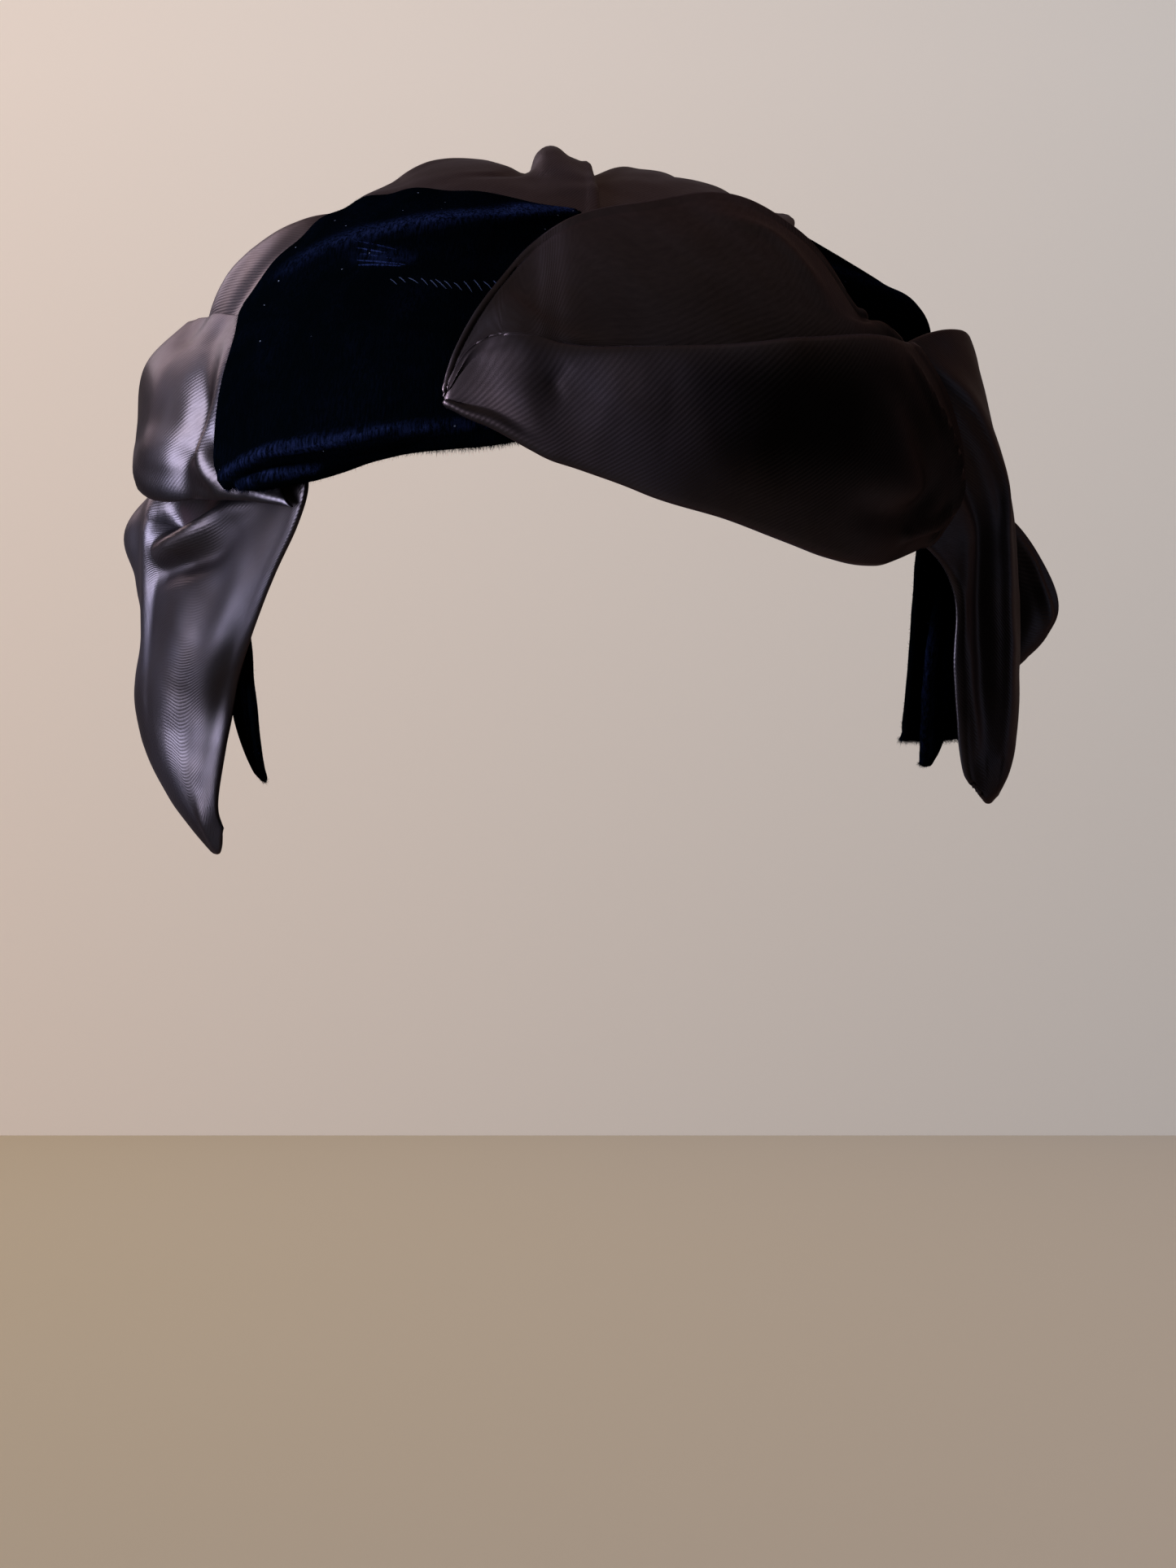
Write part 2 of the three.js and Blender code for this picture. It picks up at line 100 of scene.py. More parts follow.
crown_brow_ear = hollow_radius(np.array([0, 0, 90]), np.array([0, -65, 0]))
print("radius at crown, brow and ear:", np.round(crown_brow_ear, 1))

# %% [markdown]
# ## Smooth cloth through a few given places
#
# A leaf could be sculpted, or drawn as a spline surface. A short table of places is easier to read
# and to change: each row is a section across the leaf, and a smooth curve runs through the same
# place of all the rows. The cloth is then cut into even steps of about a millimetre, measured along
# the cloth itself, so that the weave keeps its scale.

# %% Curves and even steps
STEP = 1.0
RIM_STEPS = np.array([0.0, 0.12, 0.35, 0.7])
RIM_ROOM = 1.1
COARSE_ROWS, COARSE_COLUMNS = 120, 90


def along(values, positions):
    """Smooth values between equally spaced ones: the straight line between two neighbours, eased,
    plus a bend that meets the slope from the neighbour before to the neighbour after."""
    last = len(values) - 1
    start = np.clip(np.floor(positions).astype(int), 0, last - 1)
    share = (positions - start).reshape(-1, *[1] * (values.ndim - 1))
    inside = lambda mask: mask.reshape(share.shape)
    a, b = values[start], values[start + 1]
    before = np.where(inside(start > 0), values[np.maximum(start - 1, 0)], 2 * a - b)
    after = np.where(inside(start + 2 <= last), values[np.minimum(start + 2, last)], 2 * b - a)
    even = share * share * (3 - 2 * share)
    bend = share * (1 - share)
    return a + (b - a) * even + bend * ((1 - share) * (b - before) / 2 - share * (after - a) / 2)


def surface_at(table, rows, columns):
    """The table's surface at row and column positions, first along the leaf and then across."""
    lengthwise = along(table, rows)
    return along(lengthwise.transpose(1, 0, 2), columns).transpose(1, 0, 2)


def even_positions(points, axis, step):
    """Positions that cut one direction into even steps by its mean length in mm, with a few closer
    ones at both ends, where the edge of the cloth is rounded."""
    pieces = np.linalg.norm(np.diff(points, axis=axis), axis=-1).mean(axis=1 - axis)
    length = np.concatenate([[0], np.cumsum(pieces)])
    marks = np.linspace(0, length[-1], int(np.ceil(length[-1] / step)) + 1)[1:-1]
    marks = marks[(marks > RIM_ROOM) & (marks < length[-1] - RIM_ROOM)]
    marks = np.concatenate([RIM_STEPS, marks, length[-1] - RIM_STEPS[::-1]])
    return np.interp(marks, length, np.linspace(0, 1, len(length)))


def leaf_grid(table, step=STEP):
    """A fine grid of places on the surface through a table."""
    last_row, last_column = table.shape[0] - 1, table.shape[1] - 1
    coarse = to_points(surface_at(table, np.linspace(0, last_row, COARSE_ROWS),
                                  np.linspace(0, last_column, COARSE_COLUMNS)))
    return surface_at(table, even_positions(coarse, 0, step) * last_row,
                      even_positions(coarse, 1, step) * last_column)


def normals_of(points):
    """Unit normals of a grid of points, from the steps along both directions, facing outwards."""
    first = np.gradient(points, axis=0)
    second = np.gradient(points, axis=1)
    normals = np.cross(first, second)
    normals /= np.linalg.norm(normals, axis=-1, keepdims=True) + 1e-12
    if (normals * (points - CENTRE)).sum() < 0:
        normals = -normals
    return normals


def edge_distances(points):
    """For every point of a grid, how far it is from the start, end, front and back edge, in mm along
    the cloth."""
    def run(axis):
        pieces = np.linalg.norm(np.diff(points, axis=axis), axis=-1)
        return np.concatenate([np.zeros_like(np.take(pieces, [0], axis)), np.cumsum(pieces, axis)], axis)
    u, v = run(0), run(1)
    return {"start": u, "end": u[-1:] - u, "front": v, "back": v[:, -1:] - v}


print("cloth step:", STEP, "mm")

# %% [markdown]
# ## Folds, rolls, gathers and crumples
#
# A cloth simulation makes lovely folds, but not these folds, and the likeness lies in where the
# light breaks. So each fold is drawn: a line of places with a height, where a minus sign makes a
# groove. Its profile is a bell curve whose two sides can differ, which gives the soft side and the
# sharp side that a real fold has.

# %% Fold helpers
ANGLE_WEIGHTS = np.array([0.7, 1.0])
HEIGHT_WEIGHT = 0.02
SPOTS_PER_SPAN = 40
WAVES = 8


def line_profile(points, places, left, right, line):
    """For every point of a grid, exp(-(distance / width)^2) to a smooth line of places on it, with
    one width for each side of the line, times the line's own height at the nearest spot."""
    line = np.array(line, float)
    flat = points.reshape(-1, 3)
    flat_places = places.reshape(-1, 3)
    gap = (flat_places[None, :, :2] - line[:, None, :2]) * ANGLE_WEIGHTS
    score = (gap**2).sum(-1) - HEIGHT_WEIGHT * flat_places[None, :, 2]
    anchors = flat[score.argmin(axis=1)]
    spots = np.linspace(0, len(line) - 1, SPOTS_PER_SPAN * (len(line) - 1))
    path = along(anchors, spots)
    height = np.interp(spots, np.arange(len(line)), line[:, 2])
    apart = (flat**2).sum(-1)[:, None] - 2 * flat @ path.T + (path**2).sum(-1)[None]
    nearest = apart.argmin(axis=1)
    ahead = np.gradient(path, axis=0)[nearest]
    offset = flat - path[nearest]
    sideways = np.cross(ahead, flat - CENTRE)
    width = np.where((sideways * offset).sum(-1) > 0, right, left)
    profile = np.exp(-(offset**2).sum(-1) / width**2)
    return (profile * height[nearest]).reshape(points.shape[:2])


def crumple(points, seed, wavelength, height):
    """Faint, even unrest: the mean of eight waves in random directions, each bent by another."""
    rng = np.random.default_rng(seed)
    result = np.zeros(points.shape[:2])
    for _ in range(WAVES):
        direction, bender = rng.normal(size=(2, 3))
        turn = 2 * np.pi / (wavelength * rng.uniform(0.6, 1.6))
        bent = 1.3 * np.sin(points @ (bender / np.linalg.norm(bender)) * turn * 0.6 + rng.uniform(0, 6))
        result += np.sin(points @ (direction / np.linalg.norm(direction)) * turn + bent + rng.uniform(0, 6))
    return height * result / WAVES


def shape_cloth(places, leaf, seed):
    """Adds a leaf's folds, edge rolls, gathers and crumples to its grid of places, all along the
    normals of the cloth."""
    points = to_points(places)
    normals = normals_of(points)
    edges = edge_distances(points)
    move = crumple(points, seed, leaf.get("wavelength", 16), leaf.get("crumple", 0.3))
    for left, right, line in leaf["folds"]:
        move = move + line_profile(points, places, left, right, line)
    for side, distance, width, height in leaf.get("rolls", ()):
        move = move + height * np.exp(-(((edges[side] - distance) / width) ** 2))
    for side, count, reach, height in leaf.get("gathers", ()):
        other = edges["front"] if side in ("start", "end") else edges["start"]
        share = other / (other.max() + 1e-9)
        wave = np.sin(2 * np.pi * count * (share + 0.04 * np.sin(9 * share + seed)) + seed)
        move = move + height * wave * np.exp(-((edges[side] / reach) ** 1.5))
    return to_places(points + normals * move[..., None])


print("fold helpers ready")

# %% [markdown]
# ## Laying one leaf over another
#
# On the real hat each leaf lies on the ones sewn on before it. Two meshes that were placed by eye
# would cut through each other. So a map of the hollow, half a degree to the cell, remembers how high
# the cloth has piled up. Each new leaf is lifted where it would come too low, and the lift is spread
# out so that the cloth drapes softly over the edge beneath.

# %% The pile map
CELL = 0.5
LAYER_GAP = 0.35
LIFT_REACH = 4
STEEPEST = 0.4
pile = np.zeros((int(360 / CELL) + 2, int(180 / CELL) + 2)) - LAYER_GAP


def cells_of(places):
    """Fractional cell numbers of a grid of places."""
    return (places[..., 0] + 180) / CELL, (places[..., 1] + 90) / CELL


def highest_below(places):
    """The highest of the four cells around each place."""
    i, j = cells_of(places)
    i, j = np.floor(i).astype(int), np.floor(j).astype(int)
    return np.maximum.reduce([pile[i + di, j + dj] for di in (0, 1) for dj in (0, 1)])


def spread(values, reach):
    """The highest value within reach grid steps, then the mean within the same reach: never under
    the value itself, and smooth."""
    def sweep(grid, axis, combine):
        padded = np.pad(grid, [(reach, reach) if k == axis else (0, 0) for k in (0, 1)], mode="edge")
        size = grid.shape[axis]
        return combine([np.take(padded, np.arange(s, s + size), axis) for s in range(2 * reach + 1)])
    for combine in (np.maximum.reduce, lambda parts: sum(parts) / len(parts)):
        values = sweep(sweep(values, 0, combine), 1, combine)
    return values


def lay(places, thickness):
    """Lifts a leaf clear of the pile by half its thickness, more where it stands steeply."""
    points = to_points(places)
    outward = (points - CENTRE) / np.linalg.norm(points - CENTRE, axis=-1, keepdims=True)
    upright = np.clip(np.abs((outward * normals_of(points)).sum(-1)), STEEPEST, 1)
    missing = highest_below(places) + LAYER_GAP + thickness / 2 / upright - places[..., 2]
    lift = spread(np.maximum(missing, 0), max(1, round(LIFT_REACH / STEP)))
    return np.concatenate([places[..., :2], (places[..., 2] + lift)[..., None]], -1), lift


def add_to_pile(points, normals, thickness):
    """Raises the cells around every sample of the outer side to its height. The samples are the
    grid's points and the middles between them."""
    places = to_places(points + normals * thickness / 2)
    for axis in (0, 1):
        size = places.shape[axis]
        first = np.arange(2 * size - 1) // 2
        second = np.minimum(first + np.arange(2 * size - 1) % 2, size - 1)
        places = (np.take(places, first, axis) + np.take(places, second, axis)) / 2
    a, b = cells_of(places)
    for di in (0, 1):
        for dj in (0, 1):
            cell = (np.floor(a).astype(int) + di, np.floor(b).astype(int) + dj)
            np.maximum.at(pile, cell, places[..., 2])


print("pile map:", pile.shape, "cells")

# %% [markdown]
# ## From a surface to a mesh with a soft edge
#
# Solidify would give each leaf its thickness, with a square rim. The folded edge of doubled satin is
# round, so the two sides are made here and meet at the border, where the half thickness runs out as
# a quarter circle. The UV map is in metres along the cloth, so a weave pattern has its real size.

# %% Shell meshes
EDGE_RADIUS = 0.6


def mesh_object(name, vertices, faces, material, uv=None, values=None):
    """A mesh in metres from points in mm, smooth-shaded, with an optional UV map and attributes."""
    mesh = bpy.data.meshes.new(name)
    mesh.from_pydata(np.asarray(vertices) / 1000, [], faces)
    mesh.polygons.foreach_set("use_smooth", np.ones(len(mesh.polygons), bool))
    if uv is not None:
        corners = np.empty(len(mesh.loops), int)
        mesh.loops.foreach_get("vertex_index", corners)
        mesh.uv_layers.new(name="cloth").data.foreach_set("uv", uv[corners].astype(np.float32).ravel())
    for title, numbers in (values or {}).items():
        mesh.attributes.new(title, "FLOAT", "POINT").data.foreach_set("value", numbers.astype(np.float32))
    mesh.update()
    mesh.materials.append(material)
    piece = bpy.data.objects.new(name, mesh)
    bpy.context.scene.collection.objects.link(piece)
    return piece


def shell(name, points, thickness, material, values):
    """A closed shell round a grid: both sides stand half the thickness off, and that half thickness
    is sqrt(1 - (1 - d / r)^2) of its full value at a distance d under r from the edge."""
    normals = normals_of(points)
    edges = edge_distances(points)
    nearest = np.minimum.reduce(list(edges.values()))
    radius = EDGE_RADIUS * thickness
    half = thickness / 2 * np.sqrt(1 - (1 - np.clip(nearest / radius, 0, 1)) ** 2)
    rows, columns = points.shape[:2]
    border = np.zeros((rows, columns), bool)
    border[[0, -1]] = border[:, [0, -1]] = True
    outer = np.arange(rows * columns).reshape(rows, columns)
    inner = outer.copy()
    inner[~border] = rows * columns + np.arange((~border).sum())
    vertices = np.concatenate([
        (points + normals * half[..., None]).reshape(-1, 3),
        (points - normals * half[..., None])[~border],
    ])
    def quads(ids):
        return np.stack([ids[:-1, :-1], ids[1:, :-1], ids[1:, 1:], ids[:-1, 1:]], -1).reshape(-1, 4)
    flipped = (np.cross(np.gradient(points, axis=0), np.gradient(points, axis=1)) * normals).sum() < 0
    outside, inside = quads(outer), quads(inner)
    faces = np.concatenate([outside[:, ::-1], inside] if flipped else [outside, inside[:, ::-1]])
    both = lambda grid: np.concatenate([grid.reshape(-1, *grid.shape[2:]), grid[~border]])
    uv = both(np.stack([edges["start"], edges["front"]], -1) / 1000)
    values = {title: both(grid) for title, grid in values.items()}
    return mesh_object(name, vertices, faces, material, uv, values)


print("shell helper ready")

# %% [markdown]
# ## Node helpers
#
# Shader trees are built in code here. A few small helpers keep the cells short: they place a node,
# set its options and fill its sockets, and open a node group with named sockets.

# %% Node helpers
def fill(tree, node, sockets):
    """Gives each named or numbered input of a node a value or a link."""
    for key, value in sockets.items():
        if isinstance(value, bpy.types.NodeSocket):
            tree.links.new(value, node.inputs[key])
        else:
            node.inputs[key].default_value = value
    return node


def put(tree, kind, sockets=None, **options):
    """Adds a node, sets its options and fills its inputs."""
    node = tree.nodes.new(kind)
    for option, value in options.items():
        setattr(node, option, value)
    return fill(tree, node, sockets or {})


def maths(tree, operation, *values):
    """A Math node's result."""
    return put(tree, "ShaderNodeMath", dict(enumerate(values)), operation=operation).outputs[0]


def scale(tree, vector, factors):
    """A vector times three factors."""
    return put(tree, "ShaderNodeVectorMath", {0: vector, 1: factors}, operation="MULTIPLY").outputs[0]


def noise(tree, vector, **sockets):
    """A Noise Texture's factor."""
    return put(tree, "ShaderNodeTexNoise", {"Vector": vector, **sockets}).outputs["Fac"]


def remap(tree, value, low, high, first=0.0, last=1.0):
    """A Map Range node's result: low to high becomes first to last, and no more than that."""
    return put(tree, "ShaderNodeMapRange", {0: value, 1: low, 2: high, 3: first, 4: last}).outputs[0]


def blend(tree, share, first, last):
    """A colour between two, which are sockets or red, green and blue."""
    first, last = ((*colour, 1) if isinstance(colour, tuple) else colour for colour in (first, last))
    return put(tree, "ShaderNodeMix", {0: share, 6: first, 7: last}, data_type="RGBA").outputs[2]


def bump(tree, height, distance):
    """The normal that a height map gives, with distance in metres."""
    return put(tree, "ShaderNodeBump", {"Strength": 0.7, "Distance": distance, "Height": height}).outputs[0]


def new_group(name, inputs, outputs):
    """An empty shader node group, its input node and its output node."""
    group = bpy.data.node_groups.new(name, "ShaderNodeTree")
    for socket, kind, value in inputs:
        made = group.interface.new_socket(name=socket, in_out="INPUT", socket_type=kind)
        if value is not None:
            made.default_value = value
    for socket in outputs:
        group.interface.new_socket(name=socket, in_out="OUTPUT", socket_type="NodeSocketFloat")
    return group, group.nodes.new("NodeGroupInput"), group.nodes.new("NodeGroupOutput")


def new_material(name):
    """A material with nothing in it but its shader, and the tree to build in."""
    material = bpy.data.materials.new(name)
    material.use_nodes = True
    return material, material.node_tree, material.node_tree.nodes["Principled BSDF"]


print("node helpers ready")

# %% [markdown]
# ## Satin weave
#
# Satin has long floats of shiny yarn over a fine twill. Close up it shows slanting ribs under a
# millimetre apart and faint streaks along the yarn. The ribs are a sine across the turned UV, and
# the streaks are noise drawn out along it. The group gives plain masks for the satin's colour, gloss
# and relief.

# %% Group: satin weave
satin_weave, given, result = new_group(
    "satin_weave",
    [("Cloth", "NodeSocketVector", None), ("Rib Spacing", "NodeSocketFloat", 0.0008),
     ("Turn", "NodeSocketFloat", 0.7)],
    ["Ribs", "Streaks", "Patches"],
)
t = satin_weave
cloth, angle = given.outputs["Cloth"], given.outputs["Turn"]
rotate = put(t, "ShaderNodeVectorRotate", {"Vector": cloth, "Angle": angle}, rotation_type="Z_AXIS")
turned = rotate.outputs[0]
across = put(t, "ShaderNodeSeparateXYZ", {0: turned}).outputs["X"]
wander = noise(t, turned, Scale=40.0, Detail=1.0)
phase = maths(t, "ADD", maths(t, "DIVIDE", across, given.outputs["Rib Spacing"]),
              maths(t, "MULTIPLY", wander, 0.6))
ribs = maths(t, "SINE", maths(t, "MULTIPLY", phase, 2 * np.pi))
streaks = noise(t, scale(t, turned, (3200.0, 240.0, 1.0)), Scale=1.0, Detail=2.0)
patches = noise(t, cloth, Scale=34.0, Detail=3.0)
fill(t, result, {"Ribs": maths(t, "MULTIPLY_ADD", ribs, 0.5, 0.5), "Streaks": streaks, "Patches": patches})
print("satin_weave:", len(t.nodes), "nodes")

# %% [markdown]
# ## Velvet pile
#
# Velvet is a lawn of short upright yarn that swallows light, except where it is brushed aside or
# seen along its side. The group gives a fine grain for the tips of the pile, larger brushed areas,
# and rare flecks of lint such as a dark velvet always carries.

# %% Group: velvet pile
velvet_pile, given, result = new_group(
    "velvet_pile",
    [("Place", "NodeSocketVector", None), ("Grain", "NodeSocketFloat", 1500.0)],
    ["Tips", "Brushed", "Lint"],
)
t = velvet_pile
place = given.outputs["Place"]
tips = noise(t, scale(t, place, (1.0, 1.0, 0.22)), Scale=given.outputs["Grain"], Detail=3.0, Roughness=0.7)
brushed = noise(t, place, Scale=75.0, Detail=4.0, Distortion=1.2)
flecks = put(t, "ShaderNodeTexVoronoi", {"Vector": place, "Scale": 320.0})
small = maths(t, "LESS_THAN", flecks.outputs["Distance"], 0.06)
chance = put(t, "ShaderNodeSeparateColor", {0: flecks.outputs["Color"]}).outputs[0]
lint = maths(t, "MULTIPLY", small, maths(t, "GREATER_THAN", chance, 0.6))
fill(t, result, {"Tips": tips, "Brushed": remap(t, brushed, 0.4, 0.68), "Lint": lint})
print("velvet_pile:", len(t.nodes), "nodes")

# %% [markdown]
# ## The finishes
#
# One satin and one velvet cover the whole hat, and a duller velvet the cap. The satin is a
# brown-black whose highlights turn lilac. A nearly pure metal gives this: it has hardly a colour of
# its own, and what it mirrors takes the yarn's tint. The velvet is nearly black, and turns blue only
# where a painted sheen is put into its colour: on crushed pile, and on ridges and hems where the
# light would catch the pile.

# %% Satin material
def make_satin(name, dark, light, turn):
    """Shot satin between two tints, with ribs and streaks in its relief and gloss."""
    material, t, shader = new_material(name)
    cloth = put(t, "ShaderNodeUVMap", uv_map="cloth").outputs[0]
    weave = put(t, "ShaderNodeGroup", node_tree=satin_weave)
    fill(t, weave, {"Cloth": cloth, "Turn": turn})
    ribs, streaks = weave.outputs["Ribs"], weave.outputs["Streaks"]
    colour = blend(t, remap(t, weave.outputs["Patches"], 0.35, 0.65), dark, light)
    height = maths(t, "ADD", ribs, maths(t, "MULTIPLY", streaks, 0.5))
    fill(t, shader, {
        "Base Color": blend(t, maths(t, "MULTIPLY", streaks, 0.5), colour, (0.015, 0.012, 0.014)),
        "Roughness": maths(t, "MULTIPLY_ADD", streaks, 0.12, 0.31),
        "Normal": bump(t, height, 0.00003),
        "Tangent": put(t, "ShaderNodeTangent", direction_type="UV_MAP", uv_map="cloth").outputs[0],
        "Metallic": 0.98, "Anisotropic": 0.4,
        "Specular IOR Level": 0.25, "Specular Tint": (0.6, 0.5, 0.48, 1),
        "Sheen Weight": 0.006, "Sheen Roughness": 0.4, "Sheen Tint": (0.75, 0.68, 0.85, 1),
    })
    return material


satin = make_satin("satin", (0.056, 0.045, 0.045), (0.070, 0.061, 0.070), 0.7)
print("made", satin.name)

# %% Velvet material
def make_velvet(name, base, crushed, sheen):
    """Deep pile: a near-black ground, a painted sheen in a bluer tint on crushed pile, ridges and
    hems, lint, and a plain sheen.
    """
    material, t, shader = new_material(name)
    nap = put(t, "ShaderNodeGroup", node_tree=velvet_pile)
    fill(t, nap, {"Place": put(t, "ShaderNodeTexCoord").outputs["Object"]})
    # The attribute read here is painted sheen: the colour turns bluer where the pile is crushed or catches
    # the light on ridges and hems.
    crush_and_sheen = put(t, "ShaderNodeAttribute", attribute_name="crush", attribute_type="GEOMETRY").outputs["Fac"]
    grain = remap(t, nap.outputs["Tips"], 0.4, 0.62, 0.1, 1.7)
    shown = maths(t, "MULTIPLY", maths(t, "MULTIPLY_ADD", nap.outputs["Brushed"], 0.02, crush_and_sheen), grain)
    colour = blend(t, maths(t, "MINIMUM", shown, 1.0), base, crushed)
    fill(t, shader, {
        "Base Color": blend(t, nap.outputs["Lint"], colour, (0.05, 0.055, 0.07)),
        "Normal": bump(t, nap.outputs["Tips"], 0.0004), "Roughness": 0.95, "Specular IOR Level": 0.0,
        "Sheen Weight": sheen, "Sheen Roughness": 0.35, "Sheen Tint": (0.25, 0.35, 0.7, 1),
    })
    return material


velvet = make_velvet("velvet", (0.0002, 0.0004, 0.0006), (0.006, 0.009, 0.028), 0.0008)
cap_velvet = make_velvet("cap_velvet", (0.0012, 0.0013, 0.0026), (0.006, 0.008, 0.022), 0.02)
print("made", velvet.name, "and", cap_velvet.name)

# %% [markdown]
# ## The leaves in sewing order
#
# Each leaf has a table of sections, one to a row. A place is alpha, beta and its lift over the
# hollow as a share of FOLD_LIFT, and commas part the places. A fold is a row with the widths of its
# left and right side, a colon, and a line of places with heights in millimetres. Crush rows have the
# same form, and their last number is how much painted sheen the velvet gets there: a bluer colour on
# crushed pile and on ridges and hems that catch the light. Rolls run along an edge: side, distance
# from it, width, height. Gathers are puckers along an edge: side, how many, how deep they reach,
# height.

# %% Tables: velvet leaves under the drape
FOLD_LIFT = 24.0
LEAVES = {}


def read_rows(text):
    """A table from text: one row to a line, or more where a line ends with a comma."""
    table = text.strip().replace(",\n", ",").splitlines()
    return [[[float(number) for number in place.split()] for place in row.split(",")] for row in table]


def read_folds(text):
    """Rows of two widths, a colon, and a line of places."""
    found = []
    for row in text.strip().replace(",\n", ",").splitlines():
        widths, line = row.split(":")
        found.append((*map(float, widths.split()), read_rows(line)[0]))
    return found


def add_leaf(name, held, on, sections, folds, crush="", **edges):
    """Notes one leaf: how it is held and what it rests on, which nothing below reads, its tables,
    and what happens at its edges.
    """
    sections = read_rows(sections) if isinstance(sections, str) else sections
    LEAVES[name] = dict(held=held, on=on, sections=sections, folds=read_folds(folds),
                        crush=read_folds(crush), **edges)


add_leaf("velvet_ear_leaf", "hung", ["cap"], """
    60 -28 .1, 61 -8 .1, 62 12 .1
    80 -21 .12, 80 0 .4, 80 18 .74
    95 -14 .04, 94 0 .36, 95 12 .78
    104 -10 .04, 102 0 .36, 103 9 .78
    109.5 -6 .04, 108 0 .36, 106 6 .74""",
    folds="""
    3 3: 86 0 0, 97 -1 .9, 107 -1 .7
    2.5 2.5: 90 7 0, 99 6 -.8, 105 4 -.5""",
    rolls=[("end", 2, 1.6, 0.5), ("front", 2, 1.6, 0.4)],
)
add_leaf("velvet_ear_point", "hung", ["cap"], """
    -66 -26 .1, -66 -13 .1, -66 0 .1
    -80 -26 .12, -80 -12 .14, -80 0 .14
    -94 -25 .05, -94 -12 .12, -94 1 .2
    -104 -23 .04, -103 -11 .1, -102 0 .2
    -111 -19 .04, -110 -10 .08, -109 -2 .16
    -117 -13 .04, -116.5 -9 .06, -115 -5 .1""",
    folds="""
    1.6 1.6: -98 -21 0, -103 -19 .9, -108 -16 .7, -114 -12 .3
    1.4 1.4: -98 -17 0, -104 -15.5 -.8, -110 -13 -.4""",
    crush="""
    2.2 2.2: -99 -21 .2, -102 -19 .9, -105 -17 .8, -109 -15 .2""",
    rolls=[("front", 1.6, 1.2, 0.4)],
)
add_leaf("velvet_shoulder_leaf", "draped", ["cap"], """
    28 -36 .1, 28 0 .1, 29 32 .1
    37 -38 .1, 35 -2 .12, 38 33 .16
    45 -37 .16, 42 -2 .27, 46 33 .22
    53 -32 .16, 49 -2 .38, 54 31 .25
    64 -20 .12, 64 2 .16, 66 24 .16""",
    folds="""
    4 3: 34 -24 .3, 41 -18 1.2, 48 -6 1.4, 52 8 1, 54 24 .3
    3 4: 38 -30 -.3, 45 -22 -1, 53 -10 -1.2, 57 6 -.8, 59 20 -.2
    4 4: 36 4 0, 41 14 .9, 45 26 .6""",
    crush="""
    3 2: 34 -24 .1, 41 -18 .3, 48 -6 .3, 52 8 .2""",
    rolls=[("back", 2, 1.6, 0.5), ("start", 2, 1.6, 0.4)], gathers=[("back", 4, 11, 0.7)],
)
print(len(LEAVES), "leaves so far")

# %% Tables: satin over the crown
add_leaf("satin_back_band", "draped", ["cap"], """
    -14 -32 .1, -14 0 .1, -15 30 .1
    -25 -32 .1, -25 0 .22, -26 32 .16
    -36 -30 .14, -35 2 .58, -37 33 .28
    -46 -27 .16, -46 2 .68, -48 32 .33
    -55 -24 .16, -55 2 .5, -58 30 .25
    -70 -18 .14, -68 2 .16, -70 24 .16""",
    folds="""
    6 3.5: -27 -8 .3, -36 -8 1.2, -45 -6 1.4, -54 -4 .6
    4 5: -28 -14 -.3, -37 -15 -1, -46 -14 -1, -54 -12 -.4
    6 4: -24 12 .3, -36 14 1.5, -48 15 1.5, -60 13 .5
    4 5: -26 20 -.4, -38 22 -1.3, -50 23 -1, -60 20 -.2""",
    rolls=[("back", 2, 1.8, 0.6), ("back", 6, 2.2, -0.4)],
    gathers=[("back", 5, 12, 0.8), ("start", 4, 12, 0.6)],
)
add_leaf("satin_crown_leaf", "draped", ["cap", "velvet_shoulder_leaf_cloth"], """
    -8 -38 .1, -7 -16 .12, -6 10 .16, -6 35 .16
    2 -40 .1, 2 -18 .14, 3 12 .48, 3 37 .2
    11 -40 .1, 10 -18 .18, 9 13 .6, 12 38 .24
    20 -38 .1, 18 -18 .18, 17 12 .46, 21 37 .22
    31 -34 .1, 29 -16 .1, 28 8 .14, 32 34 .16""",
    folds="""
    4 3: 2 -12 .2, 6 4 1.2, 8 18 1.5, 9 32 .6
    3 4: 10 -10 -.2, 14 6 -1.2, 16 20 -1.3, 17 33 -.4
    4 3: 16 -8 .2, 21 6 .9, 24 20 1, 25 32 .4""",
    rolls=[("back", 2, 1.8, 0.6), ("back", 6, 2.2, -0.4), ("end", 1.8, 1.5, 0.5)],
    gathers=[("back", 4, 13, 0.9)],
)
add_leaf("satin_crown_loop", "draped", ["cap", "satin_back_band_cloth", "satin_crown_leaf_cloth"], """
    -29 -30 .12, -28 -14 .16, -27 8 .24, -27 30 .16
    -23 -33 .12, -23 -15 .3, -22 9 .58, -23 33 .24
    -17 -36 .12, -17 -16 .33, -17 10 .71, -16 36 .26
    -11 -38 .12, -11 -16 .32, -11 11 .66, -10 38 .26
    -6 -39 .12, -6 -16 .28, -7 11 .54, -6 38 .24
    -1 -40 .12, -2 -18 .32, -4 9 .74, -3 34 .34
    4 -40 .14, 3 -22 .24, 1 0 .38, 0 20 .5""",
    folds="""
    2.6 2.6: -14 -13 -.2, -9.5 -13 -.9, -7 -8 -1.6, -6.5 4 -1.6, -7 18 -1
    5 4: -25 -4 .3, -18 0 1, -12 2 .6
    4 5: -24 14 -.3, -18 18 -1, -12 20 -.6
    3 2.4: -4 -14 .4, -2.5 2 1, -3 18 .8""",
    rolls=[("end", 1.8, 1.5, 0.6), ("back", 2, 1.8, 0.5)],
    gathers=[("back", 5, 13, 0.9), ("start", 3, 9, 0.5)],
)
